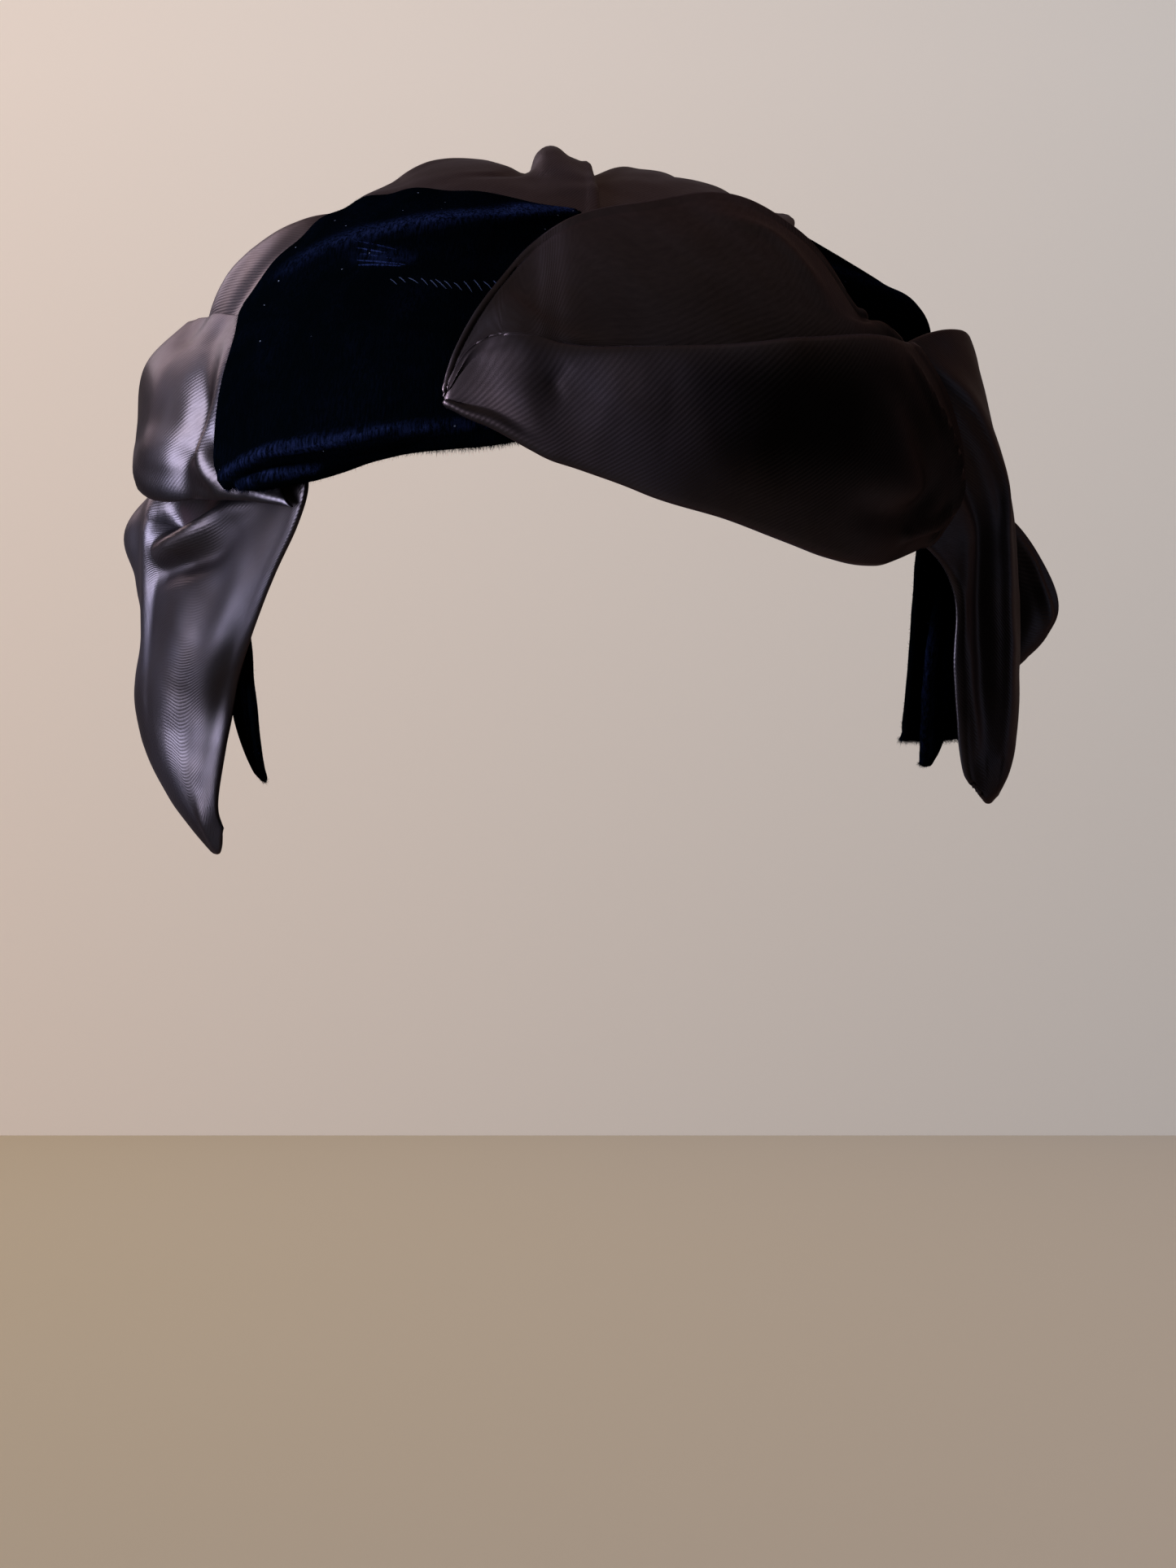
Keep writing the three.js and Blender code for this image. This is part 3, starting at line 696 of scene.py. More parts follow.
add_leaf("satin_back_tail", "hung", ["cap"], """
    58 0 .15, 58 12 .15, 58 24 .15
    71 4 .35, 72 11 .8, 73 15 1.15
    78 6 .45, 79 11.5 1.1, 79 15.5 1.6
    85 7 .5, 86 12 1.35, 86 16.5 1.93
    91 8 .6, 91 13 1.4, 90 17 1.83
    95 10 .95, 95 13 1.25, 94 15.5 1.45""",
    folds="""
    1.6 2.6: 76 13.5 .2, 81 14.2 1, 85 14.4 1.3, 88 15.6 .8
    2.6 1.8: 77 11.6 -.2, 82 12 -.8, 88 12 -.8, 92 12.5 -.2""",
    rolls=[("end", 1.6, 1.3, 0.3)], crumple=0.2,
)
print(len(LEAVES), "leaves so far")

# %% Tables: ends on the +X side
add_leaf("velvet_front_point", "hung", ["velvet_ear_leaf_cloth"], """
    62 -36 .16, 63 -24 .16, 64 -12 .16
    79 -17 .1, 80 -12 .25, 81 -6 .42
    90 -15 .1, 90 -11 .24, 90 -5 .4
    101 -11 .08, 101 -7 .24, 100 -2 .42
    108 -7 .16, 108 -4.5 .3, 107 -1.5 .44
    112 -4.5 .28, 112 -3 .34, 111.5 -1.5 .4""",
    folds="""
    1.4 1.8: 84 -14 .3, 93 -12.5 .9, 102 -9 .9, 110 -4 .3
    1.5 1.5: 82 -9 0, 92 -8 -.9, 102 -5.5 -.9, 108 -3.5 -.3
    1.2 1.2: 86 -5.5 .2, 96 -4.5 .6, 104 -2.5 .3""",
    crush="""
    1.6 2.2: 90 -14 .1, 96 -12.5 .5, 104 -8 .4, 110 -4.5 .3
    1.6 1.6: 84 -7 .2, 94 -6 .35, 103 -3 .2""",
    crumple=0.35, wavelength=7,
)
add_leaf("satin_right_tail", "hung", ["velvet_front_point_cloth", "velvet_ear_leaf_cloth"], """
    49 -44 .12, 51 -27 .58, 54 -6 .74, 53 11 .2
    58 -43 .12, 60 -25 .6, 59 -4 .74, 60 12 .2
    67 -40 .14, 66 -22 .6, 66 -3 .81, 67 9 .4
    76 -34 .28, 74 -17 .64, 74 -1 .98, 75 6 .8
    85 -19 .46, 85 -13 .72, 85 -1 1.08, 85 5 .95
    97 -16 .48, 96 -12 .74, 95 -1 1.12, 96 5 .95
    106 -13 .6, 105 -9 .85, 104 0 1.2, 105 5 1
    111.5 -9 .76, 111.5 -5.5 .98, 109 -1 1.19, 109 2 1.14
    111.9 -7.2 .92, 113.3 -5 1.01, 113.3 -2.2 1.09, 111.5 .2 1.15""",
    folds="""
    6 2.2: 50.5 -33 .6, 56.5 -28 1.8, 63.6 -19 2.4, 71.7 -8.5 2, 79 -7 1.5, 87 -6.4 1.3,
        97 -5.7 1.1, 106 -3.9 .5
    4 5: 54 -34 -.6, 61 -29 -2.4, 69 -20 -3.2, 77 -13 -2.8, 87 -12 -2.4, 98 -10.6 -2, 107 -7.2 -.8
    2.5 3: 79 -19 .5, 88 -16.5 1, 99 -14 1, 107 -10 .4
    5 5: 62 -2 .2, 74 0 .8, 86 1 .9, 98 2 .6""",
    rolls=[("front", 1.5, 1.4, 0.5), ("back", 1.8, 1.6, 0.5)], crumple=0.25,
)
print(len(LEAVES), "leaves so far")

# %% Tables: tail and puff on the -X side
add_leaf("satin_left_tail", "hung", ["velvet_ear_point_cloth", "cap"], """
    -58 -42 .14, -60 -30 .16, -60 -14 .2, -60 2 .3, -60 16 .25
    -64 -48 .14, -70 -30 .2, -71 -15 .45, -70 1 .75, -71 19 .5
    -73 -47 .13, -76 -30 .28, -78 -10 .8, -78 2 1.2, -79 22 .7
    -83 -41 .13, -84 -27 .38, -84 -10 .82, -84 2 1.1, -85 22 .7
    -93 -33 .15, -93 -23 .47, -92 -10 .86, -91 2 1.05, -93 20 .7
    -102 -22 .18, -101 -17 .56, -99 -9 .94, -99 1 1.17, -101 15 .75
    -110 -18 .36, -108 -14 .67, -107 -9 .97, -106 -1 1.11, -107 9 .78
    -117 -14.5 .57, -115 -12.5 .75, -114 -9 .9, -113 -4 .99, -113 2 .94
    -120.2 -12.8 .6, -122.3 -11.4 .68, -122.9 -9.6 .73, -122 -7.8 .77, -120 -6 .74""",
    folds="""
    2.2 5: -72.5 -5 1, -78.4 -8.5 2.2, -84.8 -7.4 1.9, -91.3 -6.4 1.1, -98 -7 .3
    4.5 3.5: -75.8 -11.5 -4.6, -75 -15 -5.2, -73.5 -20 -3.6, -71 -26 -1.6
    2.8 2.4: -80.4 -11.5 2.2, -79.2 -16.2 3.6, -77.1 -21.6 3.2, -73.9 -27 2.2, -71.9 -33 1.2,
        -69.4 -39 .3
    3.4 3.4: -82.6 -12.5 -1.6, -81.8 -18.6 -2.8, -79.8 -25 -2.2, -77.2 -31.4 -.6
    8 4: -86 1 0, -91.5 1 -.9, -98 1 -1, -105 -2 0
    9 7: -85.5 -20 0, -91.5 -18 .9, -98 -14.5 .9, -105 -12.5 0
    4 4: -82 -34 .2, -92.8 -27 .9, -102 -18.6 .9, -111 -14.6 .4
    1.8 1.8: -115.5 -13 .2, -118.5 -12 1, -122 -10.5 .4
    6 6: -76 8 0, -84 9 1, -94 8 1, -102 6 .3""",
    rolls=[("back", 1.8, 1.6, 0.5), ("front", 1.6, 1.6, 0.4)], crumple=0.25,
)
add_leaf("satin_left_puff", "gathered", ["satin_left_tail_cloth", "satin_back_band_cloth"], """
    -44 -38 .3, -50 -10 .55, -52 -1 .8, -48 24 .4
    -52 -42 .3, -57 -19 .63, -59 -1 1.07, -56 24 .45
    -60 -44 .3, -64 -22 .67, -65 -2 1.04, -62 22 .5
    -67 -45 .28, -69 -25 .72, -69 -4 1.03, -65 18 .6
    -70 -48 .26, -73 -22 .63, -72 -7 .94, -67 12 .74""",
    folds="""
    5.5 5: -53 -19 -.8, -60.3 -24.5 -3, -65.9 -25 -3.4, -71.2 -25 -1.6
    8 7: -54.4 -9.1 .3, -60.7 -13.5 1.2, -66.5 -15 1.6, -70.5 -14.5 1.4
    2.6 2.6: -52 -24 .2, -57.2 -28 .8, -62.7 -28.6 1.3, -67 -30 2, -70 -33 1
    2.2 2.2: -62.1 -32.2 -.6, -65 -33 -2, -67.3 -35.3 -2.2, -68.7 -38 -.8
    4 4: -56 4 -.3, -62 6 -1.2, -67 7 -.8
    2.6 6: -68 -6 0, -71 -13 1.7, -72 -20 1.8, -71.8 -28 .4
    4 4: -53 12 .2, -60 14 1.2, -65 14 .8""",
    rolls=[("end", 1.6, 1.6, 0.5)], gathers=[("start", 6, 8, 0.5)], crumple=0.3,
)
print(len(LEAVES), "leaves so far")

# %% Tables: the velvet front panel
add_leaf("velvet_front_panel", "draped", ["satin_left_puff_cloth", "satin_crown_loop_cloth", "cap"], """
    -70.5 -38 .54, -67 -35 .62, -60 -34 .67, -52 -31 .63, -48 -27 .58
    -67.5 -46 .33, -63 -47.5 .5, -53 -43.5 .54, -43 -35 .58, -40 -26 .58
    -57 -56 .19, -52 -58 .37, -41 -50.5 .5, -34 -40 .58, -30 -24.5 .58
    -37 -66 .15, -34 -64.5 .29, -27 -56.5 .46, -21 -43 .58, -20 -28.5 .58
    -13 -69 .13, -11.5 -67 .21, -8 -57.5 .33, -8 -42 .48, -9 -33 .48
    16 -67 .12, 15 -65 .15, 9 -56.5 .2, 3.5 -39 .33, .5 -34.5 .33""",
    folds="""
    6 2.6: -46 -28 .4, -39.5 -31.6 1.4, -33.2 -35 2, -24.3 -39 2.4, -12.4 -39.9 2.2, -5.6 -38 1.6,
        -1.1 -35.5 .8
    3 5: -38 -36.5 -.8, -31 -40.5 -1.6, -22 -44 -1.6, -11 -44.5 -1.4, -4 -42 -.8
    2.4 2.4: -32 -37.4 .1, -28.8 -40.3 .7, -25.5 -42.6 .2
    2.2 1.4: -68.8 -37.9 .8, -63 -45.9 1.5, -55.1 -54.9 1.5, -48.6 -59.2 1.3, -40.8 -62.6 1.1,
        -23 -66.6 .6
    1.4 1.4: -69.6 -39.4 -.6, -65 -47 -1.2, -57 -56 -.9, -46 -62.4 -.7, -34 -66 -.3
    1.3 1.3: -69.4 -40.6 .5, -66.4 -46.6 1.1, -61.5 -52.6 .7, -56 -57 .1
    5 5: -58 -40 -.3, -48 -46 -.8, -38 -52 -.6""",
    crush="""
    3.4 1.2: -40 -32 .1, -33.2 -35 .25, -24.3 -39 .4, -12.4 -39.5 .6, -5.6 -37.6 1.5, -1.1 -35 .9
    1.6 1.6: -32 -37.4 .05, -28.8 -40.3 .2, -25.5 -42.6 .1
    .9 .6: -68.8 -37.9 .4, -63 -45.9 .5, -55.1 -54.9 .45, -48.6 -59.2 .35, -40.8 -62.6 .3,
        -23 -66.6 .15
    .7 .7: -69.4 -40.6 .4, -66.4 -46.6 .5, -61.5 -52.6 .3""",
    rolls=[("front", 1.6, 1.2, 0.6)], gathers=[("back", 7, 7, 0.35)], crumple=0.35, wavelength=13,
)
print(len(LEAVES), "leaves so far")

# %% [markdown]
# The front leaf is the boldest fold of the hat. Its lower half rises to a crest that lies over the
# arched upper half like the lip of a pocket, and the pocket opens towards +X. The table below gives
# the visible places, and tuck_under adds what is turned in: a hem behind the front edge, and the
# pocket behind the crest.

# %% Tables: the front leaf
FRONT_PLACES = np.array(read_rows("""
    -33 -63.2 .5, -32.8 -63 .5, -32.6 -62.8 .5, -32.3 -62.6 .5, -32 -62.3 .5, -31.5 -61.8 .5
    -26 -67 .42, -23 -64.5 .5, -20 -61 .54, -18.5 -59 .54, -17 -56 .52, -15.5 -52.5 .5
    -5 -73.5 .37, -4 -69 .54, -3 -63 .63, -3 -60 .58, -2 -51.5 .58, -2 -41 .54
    34 -74.5 .33, 23 -69 .63, 16.5 -62 .79, 16 -58.5 .54, 13 -49.5 .58, 10.5 -36 .58
    61 -68.5 .33, 43.5 -65.5 .71, 31.5 -58.5 .87, 30.5 -54 .54, 24.5 -44.5 .58, 20.5 -30 .58
    76 -58 .33, 57 -58 .75, 42 -51.5 .92, 40 -47 .54, 34.5 -40 .54, 31 -30.5 .5
    80.5 -45 .33, 67 -46 .79, 48 -44 .92, 45 -40 .54, 43 -38 .5, 41 -34 .42
    78 -33 .3, 72 -30 .72, 53 -35 .75, 47.5 -34 .45, 45.5 -34 .4, 44 -33.5 .38"""))
HEM_SHARE, HEM_DROP = 0.2, 0.1
POCKET_SHARES = np.array([0, 0, 0.15, 0.4, 0.5, 0.5, 0.45, 0.3])
POCKET_DROP = 0.08


def tuck_under(table):
    """Adds a turned hem before the first place and a pocket between the crest and the arch: each new
    place is a share of the way back under the cloth, and lower."""
    hem, belly, crest, foot, arch, edge = table.transpose(1, 0, 2)
    turned_hem = hem + HEM_SHARE * (belly - hem)
    turned_hem[:, 2] = hem[:, 2] - HEM_DROP
    pocket = foot + POCKET_SHARES[:, None] * (belly - foot)
    pocket[:, 2] = foot[:, 2] - POCKET_DROP * POCKET_SHARES
    return np.stack([turned_hem, hem, belly, crest, pocket, foot, arch, edge], 1)


front_table = tuck_under(FRONT_PLACES)
add_leaf(
    "satin_front_leaf", "draped",
    ["velvet_front_panel_cloth", "satin_crown_leaf_cloth", "satin_right_tail_cloth"], front_table,
    folds="""
    2.4 7: -15 -50 0, -11.5 -54.6 .9, -8.2 -58.2 1.3, -.2 -60.8 1, 12.9 -60.5 0
    6 14: -12 -48 0, -11 -55 1, -11 -61 1.8, -13 -66 1.4, -14 -72 .4
    1.6 1.6: -2.8 -65 -.15, -4.7 -65.9 -.35, -4.1 -67.4 -.15
    4 4: 55.6 -46 -.4, 62.8 -43 -1.4, 70.2 -39.5 -2.2, 73.4 -41 -2.4, 73.4 -46 -2, 70.6 -52 -.6
    1.5 1.5: 53.1 -40.3 .6, 61.7 -37.5 1.6, 68.3 -33.8 2.2, 72.9 -32.4 2.3, 75.3 -35 2.2,
        77.2 -42 1.2
    3 2.2: 20 -37 .3, 27 -36 .9, 34 -38.5 .9, 39 -41 .3
    10 10: 10 -68 -.2, 28 -68 -.9, 44 -63 -.9, 56 -56 -.3""",
    rolls=[("back", 1.0, 0.8, 0.35), ("back", 2.6, 0.8, -0.35), ("end", 1.4, 1.2, 0.8)], wavelength=20,
)
print(len(LEAVES), "leaves in all; front table", front_table.shape)

# %% [markdown]
# ## Making the cap and the leaves
#
# The cap comes first, because everything lies on it. Then the leaves follow in the order in which
# they are sewn on, each laid on the pile and turned into a shell, and the CAD node it stands for is
# hidden. The size each was cut to is measured along the cloth.

# %% The cap
CAP_SECTIONS = np.array([
    [-75, -21, 27], [-68, -30, 30], [-60, -38, 31], [-40, -49, 31], [-20, -55, 29], [0, -56, 28],
    [20, -55, 29], [40, -49, 31], [60, -38, 31], [68, -30, 30], [75, -21, 27],
], float)
CAP_MIDDLE = 1.1
CAP_THICKNESS = 1.9
CAP_STEP = 1.3 * STEP
SIDES = ("front", "back", "start", "end")


def fasten(piece):
    """Attaches a piece to the root body."""
    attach(piece, "root")


def declare(piece, node, points):
    """Attaches a cloth piece to its body, hides its CAD node, and gives back its flat size in metres."""
    edges = edge_distances(points)
    width = float(edges["start"][-1].mean()) / 1000
    length = float(edges["front"][:, -1].mean()) / 1000
    fasten(piece)
    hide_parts(node)
    return width, length


def along_edges(edges, distance, width):
    """A bell curve of height 1 along all four edges."""
    return sum(np.exp(-(((edges[side] - distance) / width) ** 2)) for side in SIDES)


cap_alpha, cap_front, cap_back = (column[:, None] for column in CAP_SECTIONS.T)
shares = np.linspace(0, 1, 5)
cap_beta = cap_front + (cap_back - cap_front) * shares
cap_table = np.stack([cap_alpha + 0 * cap_beta, cap_beta, CAP_MIDDLE + 0 * cap_beta], -1)
cap_points = to_points(leaf_grid(cap_table, CAP_STEP))
cap_edges = edge_distances(cap_points)
seam = -0.35 * np.exp(-((cap_points[..., 0] / 0.7) ** 2))
binding = 0.5 * along_edges(cap_edges, 2.5, 1.8)
stitch_line = -0.35 * along_edges(cap_edges, 5.5, 0.6)
cap_move = np.clip(seam + binding + stitch_line, -0.35, 0.2) + crumple(cap_points, 5, 11, 0.12)
cap_points = cap_points + normals_of(cap_points) * cap_move[..., None]
# The binding's ridge gets a faint painted sheen in the velvet's colour.
cap = shell("cap_cloth", cap_points, CAP_THICKNESS, cap_velvet, {"crush": np.clip(binding, 0, 0.06)})
add_to_pile(cap_points, normals_of(cap_points), CAP_THICKNESS)
cap_size = declare(cap, "cap", cap_points)
print("cap:", len(cap.data.polygons), "faces, cut to", np.round(cap_size, 3))

# %% The leaves
THICKNESS = {"satin": 1.3, "velvet": 1.8}
FINISH = {"satin": satin, "velvet": velvet}
FIRST_SEED = 11
made = {}
for number, (name, leaf) in enumerate(LEAVES.items()):
    cloth = name.split("_")[0]
    thickness = THICKNESS[cloth]
    table = np.array(leaf["sections"], float) * np.array([1, 1, FOLD_LIFT])
    places = shape_cloth(leaf_grid(table), leaf, FIRST_SEED + number)
    places, lift = lay(places, thickness)
    points = to_points(places)
    # Painted sheen: the crush rows make the velvet's colour bluer on crushed pile and on lit ridges and
    # hems.
    crush_and_sheen = np.zeros(points.shape[:2])
    for line in leaf["crush"]:
        crush_and_sheen = crush_and_sheen + line_profile(points, places, *line)
    piece = shell(name + "_cloth", points, thickness, FINISH[cloth], {"crush": crush_and_sheen})
    add_to_pile(points, normals_of(points), thickness)
    size = declare(piece, name, points)
    made[name] = points
    print(f"{name}: {len(piece.data.polygons)} faces, cut to {size[0] * 1000:.0f} x "
          f"{size[1] * 1000:.0f} mm, lifted at most {lift.max():.1f} mm")

# %% [markdown]
# ## Loose pile along the cut edges
#
# Where velvet is cut or folded hard, its pile stands out as fluff. A particle system would do, but
# then its number and look depend on the engine. So each fibre is one thin triangle, thousands of
# them in one mesh, worked out as whole arrays from a seeded random draw.

# %% Fibres
FIBRE_LEAN = 0.45
FIBRE_SCATTER = 0.25
FIBRE_ROOT = 0.3
FIBRE_HALF_WIDTH = 0.035
FLUFF_SEED = 70
# The fibres' colour carries a painted sheen: bluer, as lit pile.
FLUFF_SHEEN = 0.35


def fibres(points, normals, outward, count, length, seed):
    """count thin triangles: each starts at a random point between two neighbours of a row, and its
    tip lies length x (outward + a share of the normal + a random lean) away."""
    rng = np.random.default_rng(seed)
    pick = rng.integers(0, len(points) - 1, count)
    rooted = points[pick] + rng.random((count, 1)) * (points[pick + 1] - points[pick])
    lean = rng.normal(size=(count, 3)) * FIBRE_LEAN
    direction = outward[pick] + normals[pick] * rng.uniform(-0.4, 0.9, (count, 1)) + lean
    direction /= np.linalg.norm(direction, axis=-1, keepdims=True)
    reach = length * rng.uniform(0.4, 1.0, (count, 1)) ** 1.3
    foot = rooted + rng.normal(size=(count, 3)) * FIBRE_SCATTER - direction * FIBRE_ROOT
    side = np.cross(direction, rng.normal(size=(count, 3)))
    side *= FIBRE_HALF_WIDTH / np.linalg.norm(side, axis=-1, keepdims=True)
    vertices = np.concatenate([foot - side, foot + side, foot + direction * (reach + FIBRE_ROOT)])
    return vertices, np.arange(3 * count).reshape(3, count).T


FLUFF = [
    # leaf, edge, fibres, length in mm
    ("velvet_front_panel", "front", 5200, 1.5),
    ("velvet_front_panel", "start", 1500, 1.4),
    ("velvet_front_panel", "back", 2600, 0.9),
    ("velvet_ear_leaf", "end", 1500, 1.5),
    ("velvet_ear_leaf", "front", 900, 1.0),
    ("velvet_shoulder_leaf", "start", 900, 1.6),
    ("velvet_shoulder_leaf", "back", 1600, 1.2),
    ("velvet_ear_point", "end", 400, 1.0),
    ("velvet_ear_point", "front", 900, 0.9),
    ("velvet_front_point", "front", 700, 0.8),
    ("velvet_front_point", "end", 250, 0.8),
]


def edge_row(side, depth):
    """The index of a grid's row that lies depth steps in from an edge."""
    step = -1 - depth if side in ("end", "back") else depth
    return (step, slice(None)) if side in ("start", "end") else (slice(None), step)


fluff_vertices, fluff_faces, total = [], [], 0
for number, (name, side, count, length) in enumerate(FLUFF):
    points, rim = made[name], edge_row(side, 0)
    outward = points[rim] - points[edge_row(side, 3)]
    outward = outward / (np.linalg.norm(outward, axis=-1, keepdims=True) + 1e-9)
    vertices, faces = fibres(points[rim], normals_of(points)[rim], outward, count, length,
                             FLUFF_SEED + number)
    fluff_vertices.append(vertices)
    fluff_faces.append(faces + total)
    total += len(vertices)
fluff = mesh_object("velvet_edge_fluff", np.concatenate(fluff_vertices), np.concatenate(fluff_faces),
                    velvet, values={"crush": np.full(total, FLUFF_SHEEN)})
fasten(fluff)
print("fluff:", len(fluff.data.polygons), "fibres")

# %% [markdown]
# ## A row of hand stitches
#
# The velvet panel is tacked down below its ridge with a row of slanting stitches. Each is a short
# thread that comes up, crosses over and dives back. A thin tube is swept along a small arch, the
# same few faces for each stitch. The same tubes, in velvet, make the fan of crushed strands where
# the stitches draw the pile together.

# %% Stitches
TUBE_ROWS, TUBE_SIDES = 9, 6
TUBE_DEPTH = 0.25


def tubes(feet, tips, normals, rise, radius):
    """For each stitch, a six-sided tube along the arch foot + s (tip - foot) + normal x rise x
    4 s (1 - s), thinning to nothing at both ends."""
    s = np.linspace(0, 1, TUBE_ROWS)
    arch = (4 * s * (1 - s))[None, :, None]
    path = feet[:, None] + s[None, :, None] * (tips - feet)[:, None]
    path = path + normals[:, None] * (rise * arch - TUBE_DEPTH)
    ahead = np.gradient(path, axis=1)
    ahead /= np.linalg.norm(ahead, axis=-1, keepdims=True)
    side = np.cross(ahead, normals[:, None])
    side /= np.linalg.norm(side, axis=-1, keepdims=True)
    up = np.cross(side, ahead)
    turn = np.linspace(0, 2 * np.pi, TUBE_SIDES, endpoint=False)
    thick = radius * np.sqrt(np.clip(np.sin(np.pi * s), 0.05, 1))[None, :, None, None]
    ring = side[:, :, None] * np.cos(turn)[:, None] + up[:, :, None] * np.sin(turn)[:, None]
    vertices = (path[:, :, None] + ring * thick).reshape(-1, 3)
    ids = np.arange(len(vertices)).reshape(len(feet), TUBE_ROWS, TUBE_SIDES)
    after = np.roll(ids, -1, axis=2)
    walls = np.stack([ids[:, :-1], after[:, :-1], after[:, 1:], ids[:, 1:]], -1).reshape(-1, 4)
    return vertices, walls


panel = made["velvet_front_panel"]
panel_grids = to_places(panel), panel, normals_of(panel)
flat_places, flat_points, flat_normals = (grid.reshape(-1, 3) for grid in panel_grids)


def on_panel(targets):
    """Points and normals of the panel nearest to the wanted angles."""
    near = ((flat_places[None, :, :2] - targets[:, None]) ** 2).sum(-1).argmin(axis=1)
    return flat_points[near] + flat_normals[near] * THICKNESS["velvet"] / 2, flat_normals[near]


def tubes_on_panel(name, starts, ends, rise, radius, finish, **values):
    """One tube from each start to its end over the panel, both given as angles."""
    feet, normals = on_panel(starts)
    vertices, walls = tubes(feet, on_panel(ends)[0], normals, rise, radius)
    values = {title: np.full(len(vertices), value) for title, value in values.items()}
    fasten(mesh_object(name, vertices, walls, finish, values=values))


thread, t, shader = new_material("dark_thread")
place = put(t, "ShaderNodeTexCoord").outputs["Object"]
twist = put(t, "ShaderNodeTexWave", {"Vector": place, "Scale": 900.0})
shade = blend(t, twist.outputs["Fac"], (0.006, 0.009, 0.02), (0.010, 0.014, 0.030))
fill(t, shader, {"Base Color": shade, "Roughness": 0.8, "Specular IOR Level": 0.08})

STITCH_LINE = np.array([[-29.7, -44.2], [-24.6, -46.9], [-20.3, -48.6], [-14.1, -49.4]])
STITCH_SLANT = np.array([0.9, -1.9])
STITCHES, STRANDS = 12, 7
stitch_feet = along(STITCH_LINE, np.linspace(0, len(STITCH_LINE) - 1, STITCHES))
tubes_on_panel("panel_stitches", stitch_feet, stitch_feet + STITCH_SLANT, 0.5, 0.13, thread)
fan = np.linspace(0, 1, STRANDS)[:, None]
strand_feet = np.array([-31.0, -36.0]) + fan * np.array([-1.4, -2.6])
strand_tips = np.array([-24.9, -41.9]) + fan * np.array([-1.1, -1.7])
# The strands' colour carries a painted sheen, as crushed pile that catches the light.
tubes_on_panel("panel_pucker", strand_feet, strand_tips, 0.7, 0.24, velvet, crush=0.9)
print("stitches:", STITCHES, "strands:", STRANDS)

# %% [markdown]
# ## Floor, wall, light and camera
#
# The hat hangs where its wearer would carry it, so the floor lies well below. A plain pale floor and
# wall close the view, and glossy rays don't see them: satin shows its folds by what it mirrors, and
# so a bright window at -X in a dim room draws every fold. The front leaf faces another way than the
# rest and has a window of its own, and one lamp lights the floor and wall alone. Floor and wall also
# glow with painted light, brightest at -X and at the top and fading to +X and downwards.

# %% Stage
FLOOR_HEIGHT, WALL_Y, REACH, WALL_TOP = -0.4, 1.58, 5.0, 4.0


def stage_plane(name, corners, colour, far_colour, glow, fade):
    """A flat stage surface with a faint mottle. It turns from one colour at -X to another at +X, and
    it glows with painted light that fades that way and downwards, to the given shares."""
    material, t, shader = new_material(name)
    place = put(t, "ShaderNodeTexCoord").outputs["Object"]
    split = put(t, "ShaderNodeSeparateXYZ", {0: place})
    across = maths(t, "MULTIPLY_ADD", noise(t, place, Scale=1.3, Detail=2.0), 0.3, split.outputs["X"])
    tint = blend(t, remap(t, across, -0.3, 0.6), colour, far_colour)
    over = remap(t, split.outputs["X"], -0.45, 0.45, 1.0, fade[0])
    down = remap(t, split.outputs["Z"], 0.4, -0.4, 1.0, fade[1])
    fading = maths(t, "MULTIPLY", over, down)
    # The emission is painted light on the floor and wall; they are no lamps.
    fill(t, shader, {"Base Color": tint, "Emission Color": tint, "Roughness": 0.9,
                     "Emission Strength": maths(t, "MULTIPLY", fading, glow)})
    plane = mesh_object(name, np.array(corners) * 1000.0, [(0, 1, 2, 3)], material)
    plane.visible_glossy = False
    plane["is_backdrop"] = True
    return plane


foot_of_wall = [(-REACH, WALL_Y, FLOOR_HEIGHT), (REACH, WALL_Y, FLOOR_HEIGHT)]
front_of_floor = [(-REACH, -REACH, FLOOR_HEIGHT), (REACH, -REACH, FLOOR_HEIGHT)]
top_of_wall = [(REACH, WALL_Y, WALL_TOP), (-REACH, WALL_Y, WALL_TOP)]
floor = stage_plane("floor", front_of_floor + foot_of_wall[::-1],
                    (0.54, 0.44, 0.32), (0.54, 0.47, 0.41), 0.38, (0.92, 0.7))
wall = stage_plane("wall", foot_of_wall + top_of_wall,
                   (0.66, 0.57, 0.52), (0.63, 0.60, 0.59), 0.78, (0.78, 0.68))
print("stage:", floor.name, wall.name)

# %% Light
brow, sides, room = (bpy.data.collections.new(name) for name in ("brow", "sides", "room"))
for plane in (floor, wall):
    room.objects.link(plane)
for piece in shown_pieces():
    (brow if piece.name.startswith("satin_front_leaf") else sides).objects.link(piece)

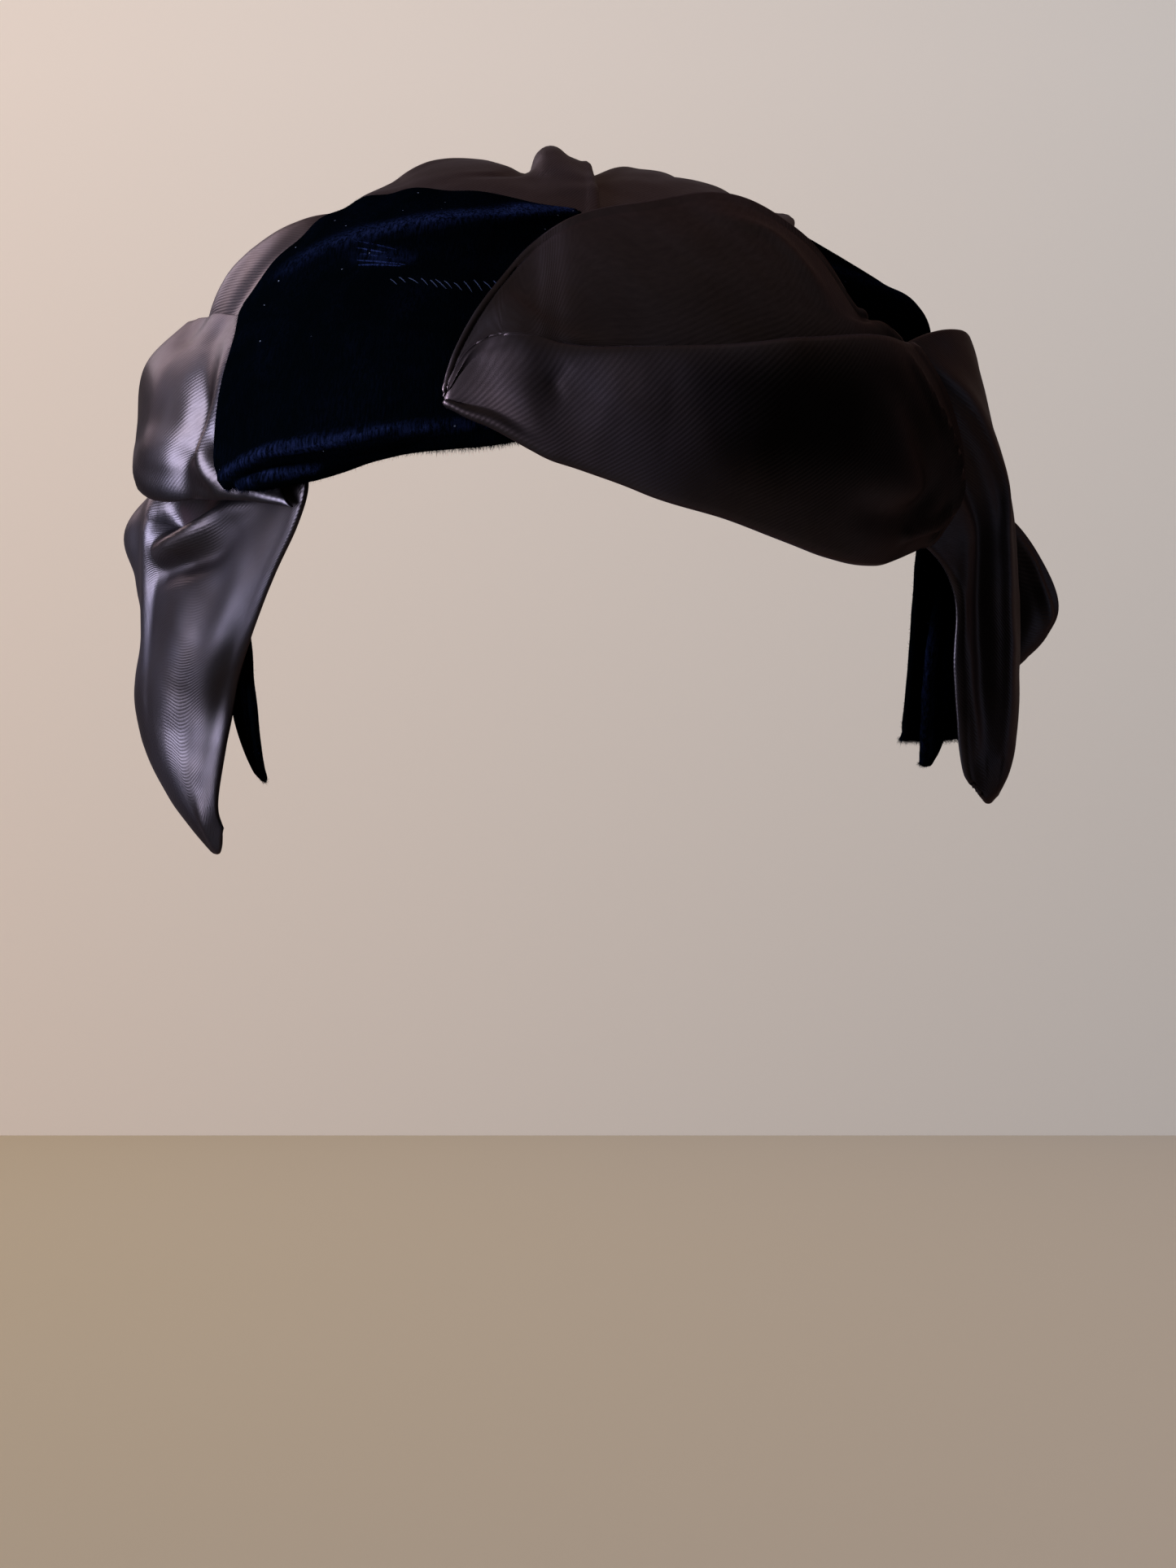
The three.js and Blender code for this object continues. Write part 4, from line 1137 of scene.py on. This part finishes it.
HAT_MIDDLE = (0, 0, -0.05)
LIGHTS = [
    # name, place, target, width and height, watts, colour, what it lights
    ("window", (-1.4, -0.6, 0.3), HAT_MIDDLE, (1.1, 1.5), 100, (0.72, 0.77, 1.0), sides),
    ("window_on_brow", (-1.45, -0.45, 0.3), HAT_MIDDLE, (0.6, 0.9), 84, (0.86, 0.80, 1.0), brow),
    ("far_pane", (-1.0, 1.1, 0.85), HAT_MIDDLE, (0.7, 0.8), 12, (0.70, 0.84, 1.0), sides),
    ("right_glow", (1.4, 0.5, 0.0), (0, 0, -0.1), (0.5, 1.0), 0.4, (0.45, 0.7, 1.0), sides),
    ("wall_wash", (-0.8, 0.6, 1.6), (-0.3, 1.58, 0.1), (1.2, 1.2), 9, (1.0, 0.95, 0.9), room),
]
for name, place, target, size, power, colour, lit in LIGHTS:
    light = bpy.data.lights.new(name, "AREA")
    light.shape = "RECTANGLE"
    light.size, light.size_y = size
    light.energy = power
    light.color = colour
    lamp = bpy.data.objects.new(name, light)
    lamp.location = place
    lamp.rotation_euler = (Vector(target) - Vector(place)).to_track_quat("-Z", "Y").to_euler()
    lamp.visible_camera = False
    lamp.light_linking.receiver_collection = lit
    bpy.context.scene.collection.objects.link(lamp)

world = bpy.data.worlds.new("studio")
bpy.context.scene.world = world
world.use_nodes = True
t = world.node_tree
sky = t.nodes["Background"]
direction = put(t, "ShaderNodeSeparateXYZ", {0: put(t, "ShaderNodeTexCoord").outputs["Generated"]})
left_side = remap(t, direction.outputs["X"], -1.0, -0.3, 0.064, 0.0)
behind = remap(t, direction.outputs["Y"], -0.2, 0.9, 0.004, 0.12)
above = remap(t, maths(t, "ABSOLUTE", direction.outputs["Z"]), 0.3, 1.0, 0.0, 0.18)
strength = maths(t, "ADD", maths(t, "ADD", left_side, behind), above)
seen = put(t, "ShaderNodeLightPath").outputs["Is Camera Ray"]
shown = maths(t, "MAXIMUM", strength, maths(t, "MULTIPLY", seen, 0.72))
hue = blend(t, remap(t, direction.outputs["X"], -0.3, -0.6), (1.0, 0.82, 0.74), (0.86, 0.92, 0.95))
fill(t, sky, {"Color": hue, "Strength": shown})
bpy.context.scene.view_settings.view_transform = "Standard"
print("lights:", ", ".join(row[0] for row in LIGHTS), "in a dim room")

# %% Camera
camera = bpy.data.objects.new("camera", bpy.data.cameras.new("camera"))
camera.location = (0.0028, -0.75, -0.1369)
camera.rotation_euler = (np.pi / 2, 0, 0)
camera.data.sensor_width = 36
camera.data.lens = 71.46
bpy.context.scene.collection.objects.link(camera)
bpy.context.scene.camera = camera
print("camera at", tuple(round(x, 3) for x in camera.location))
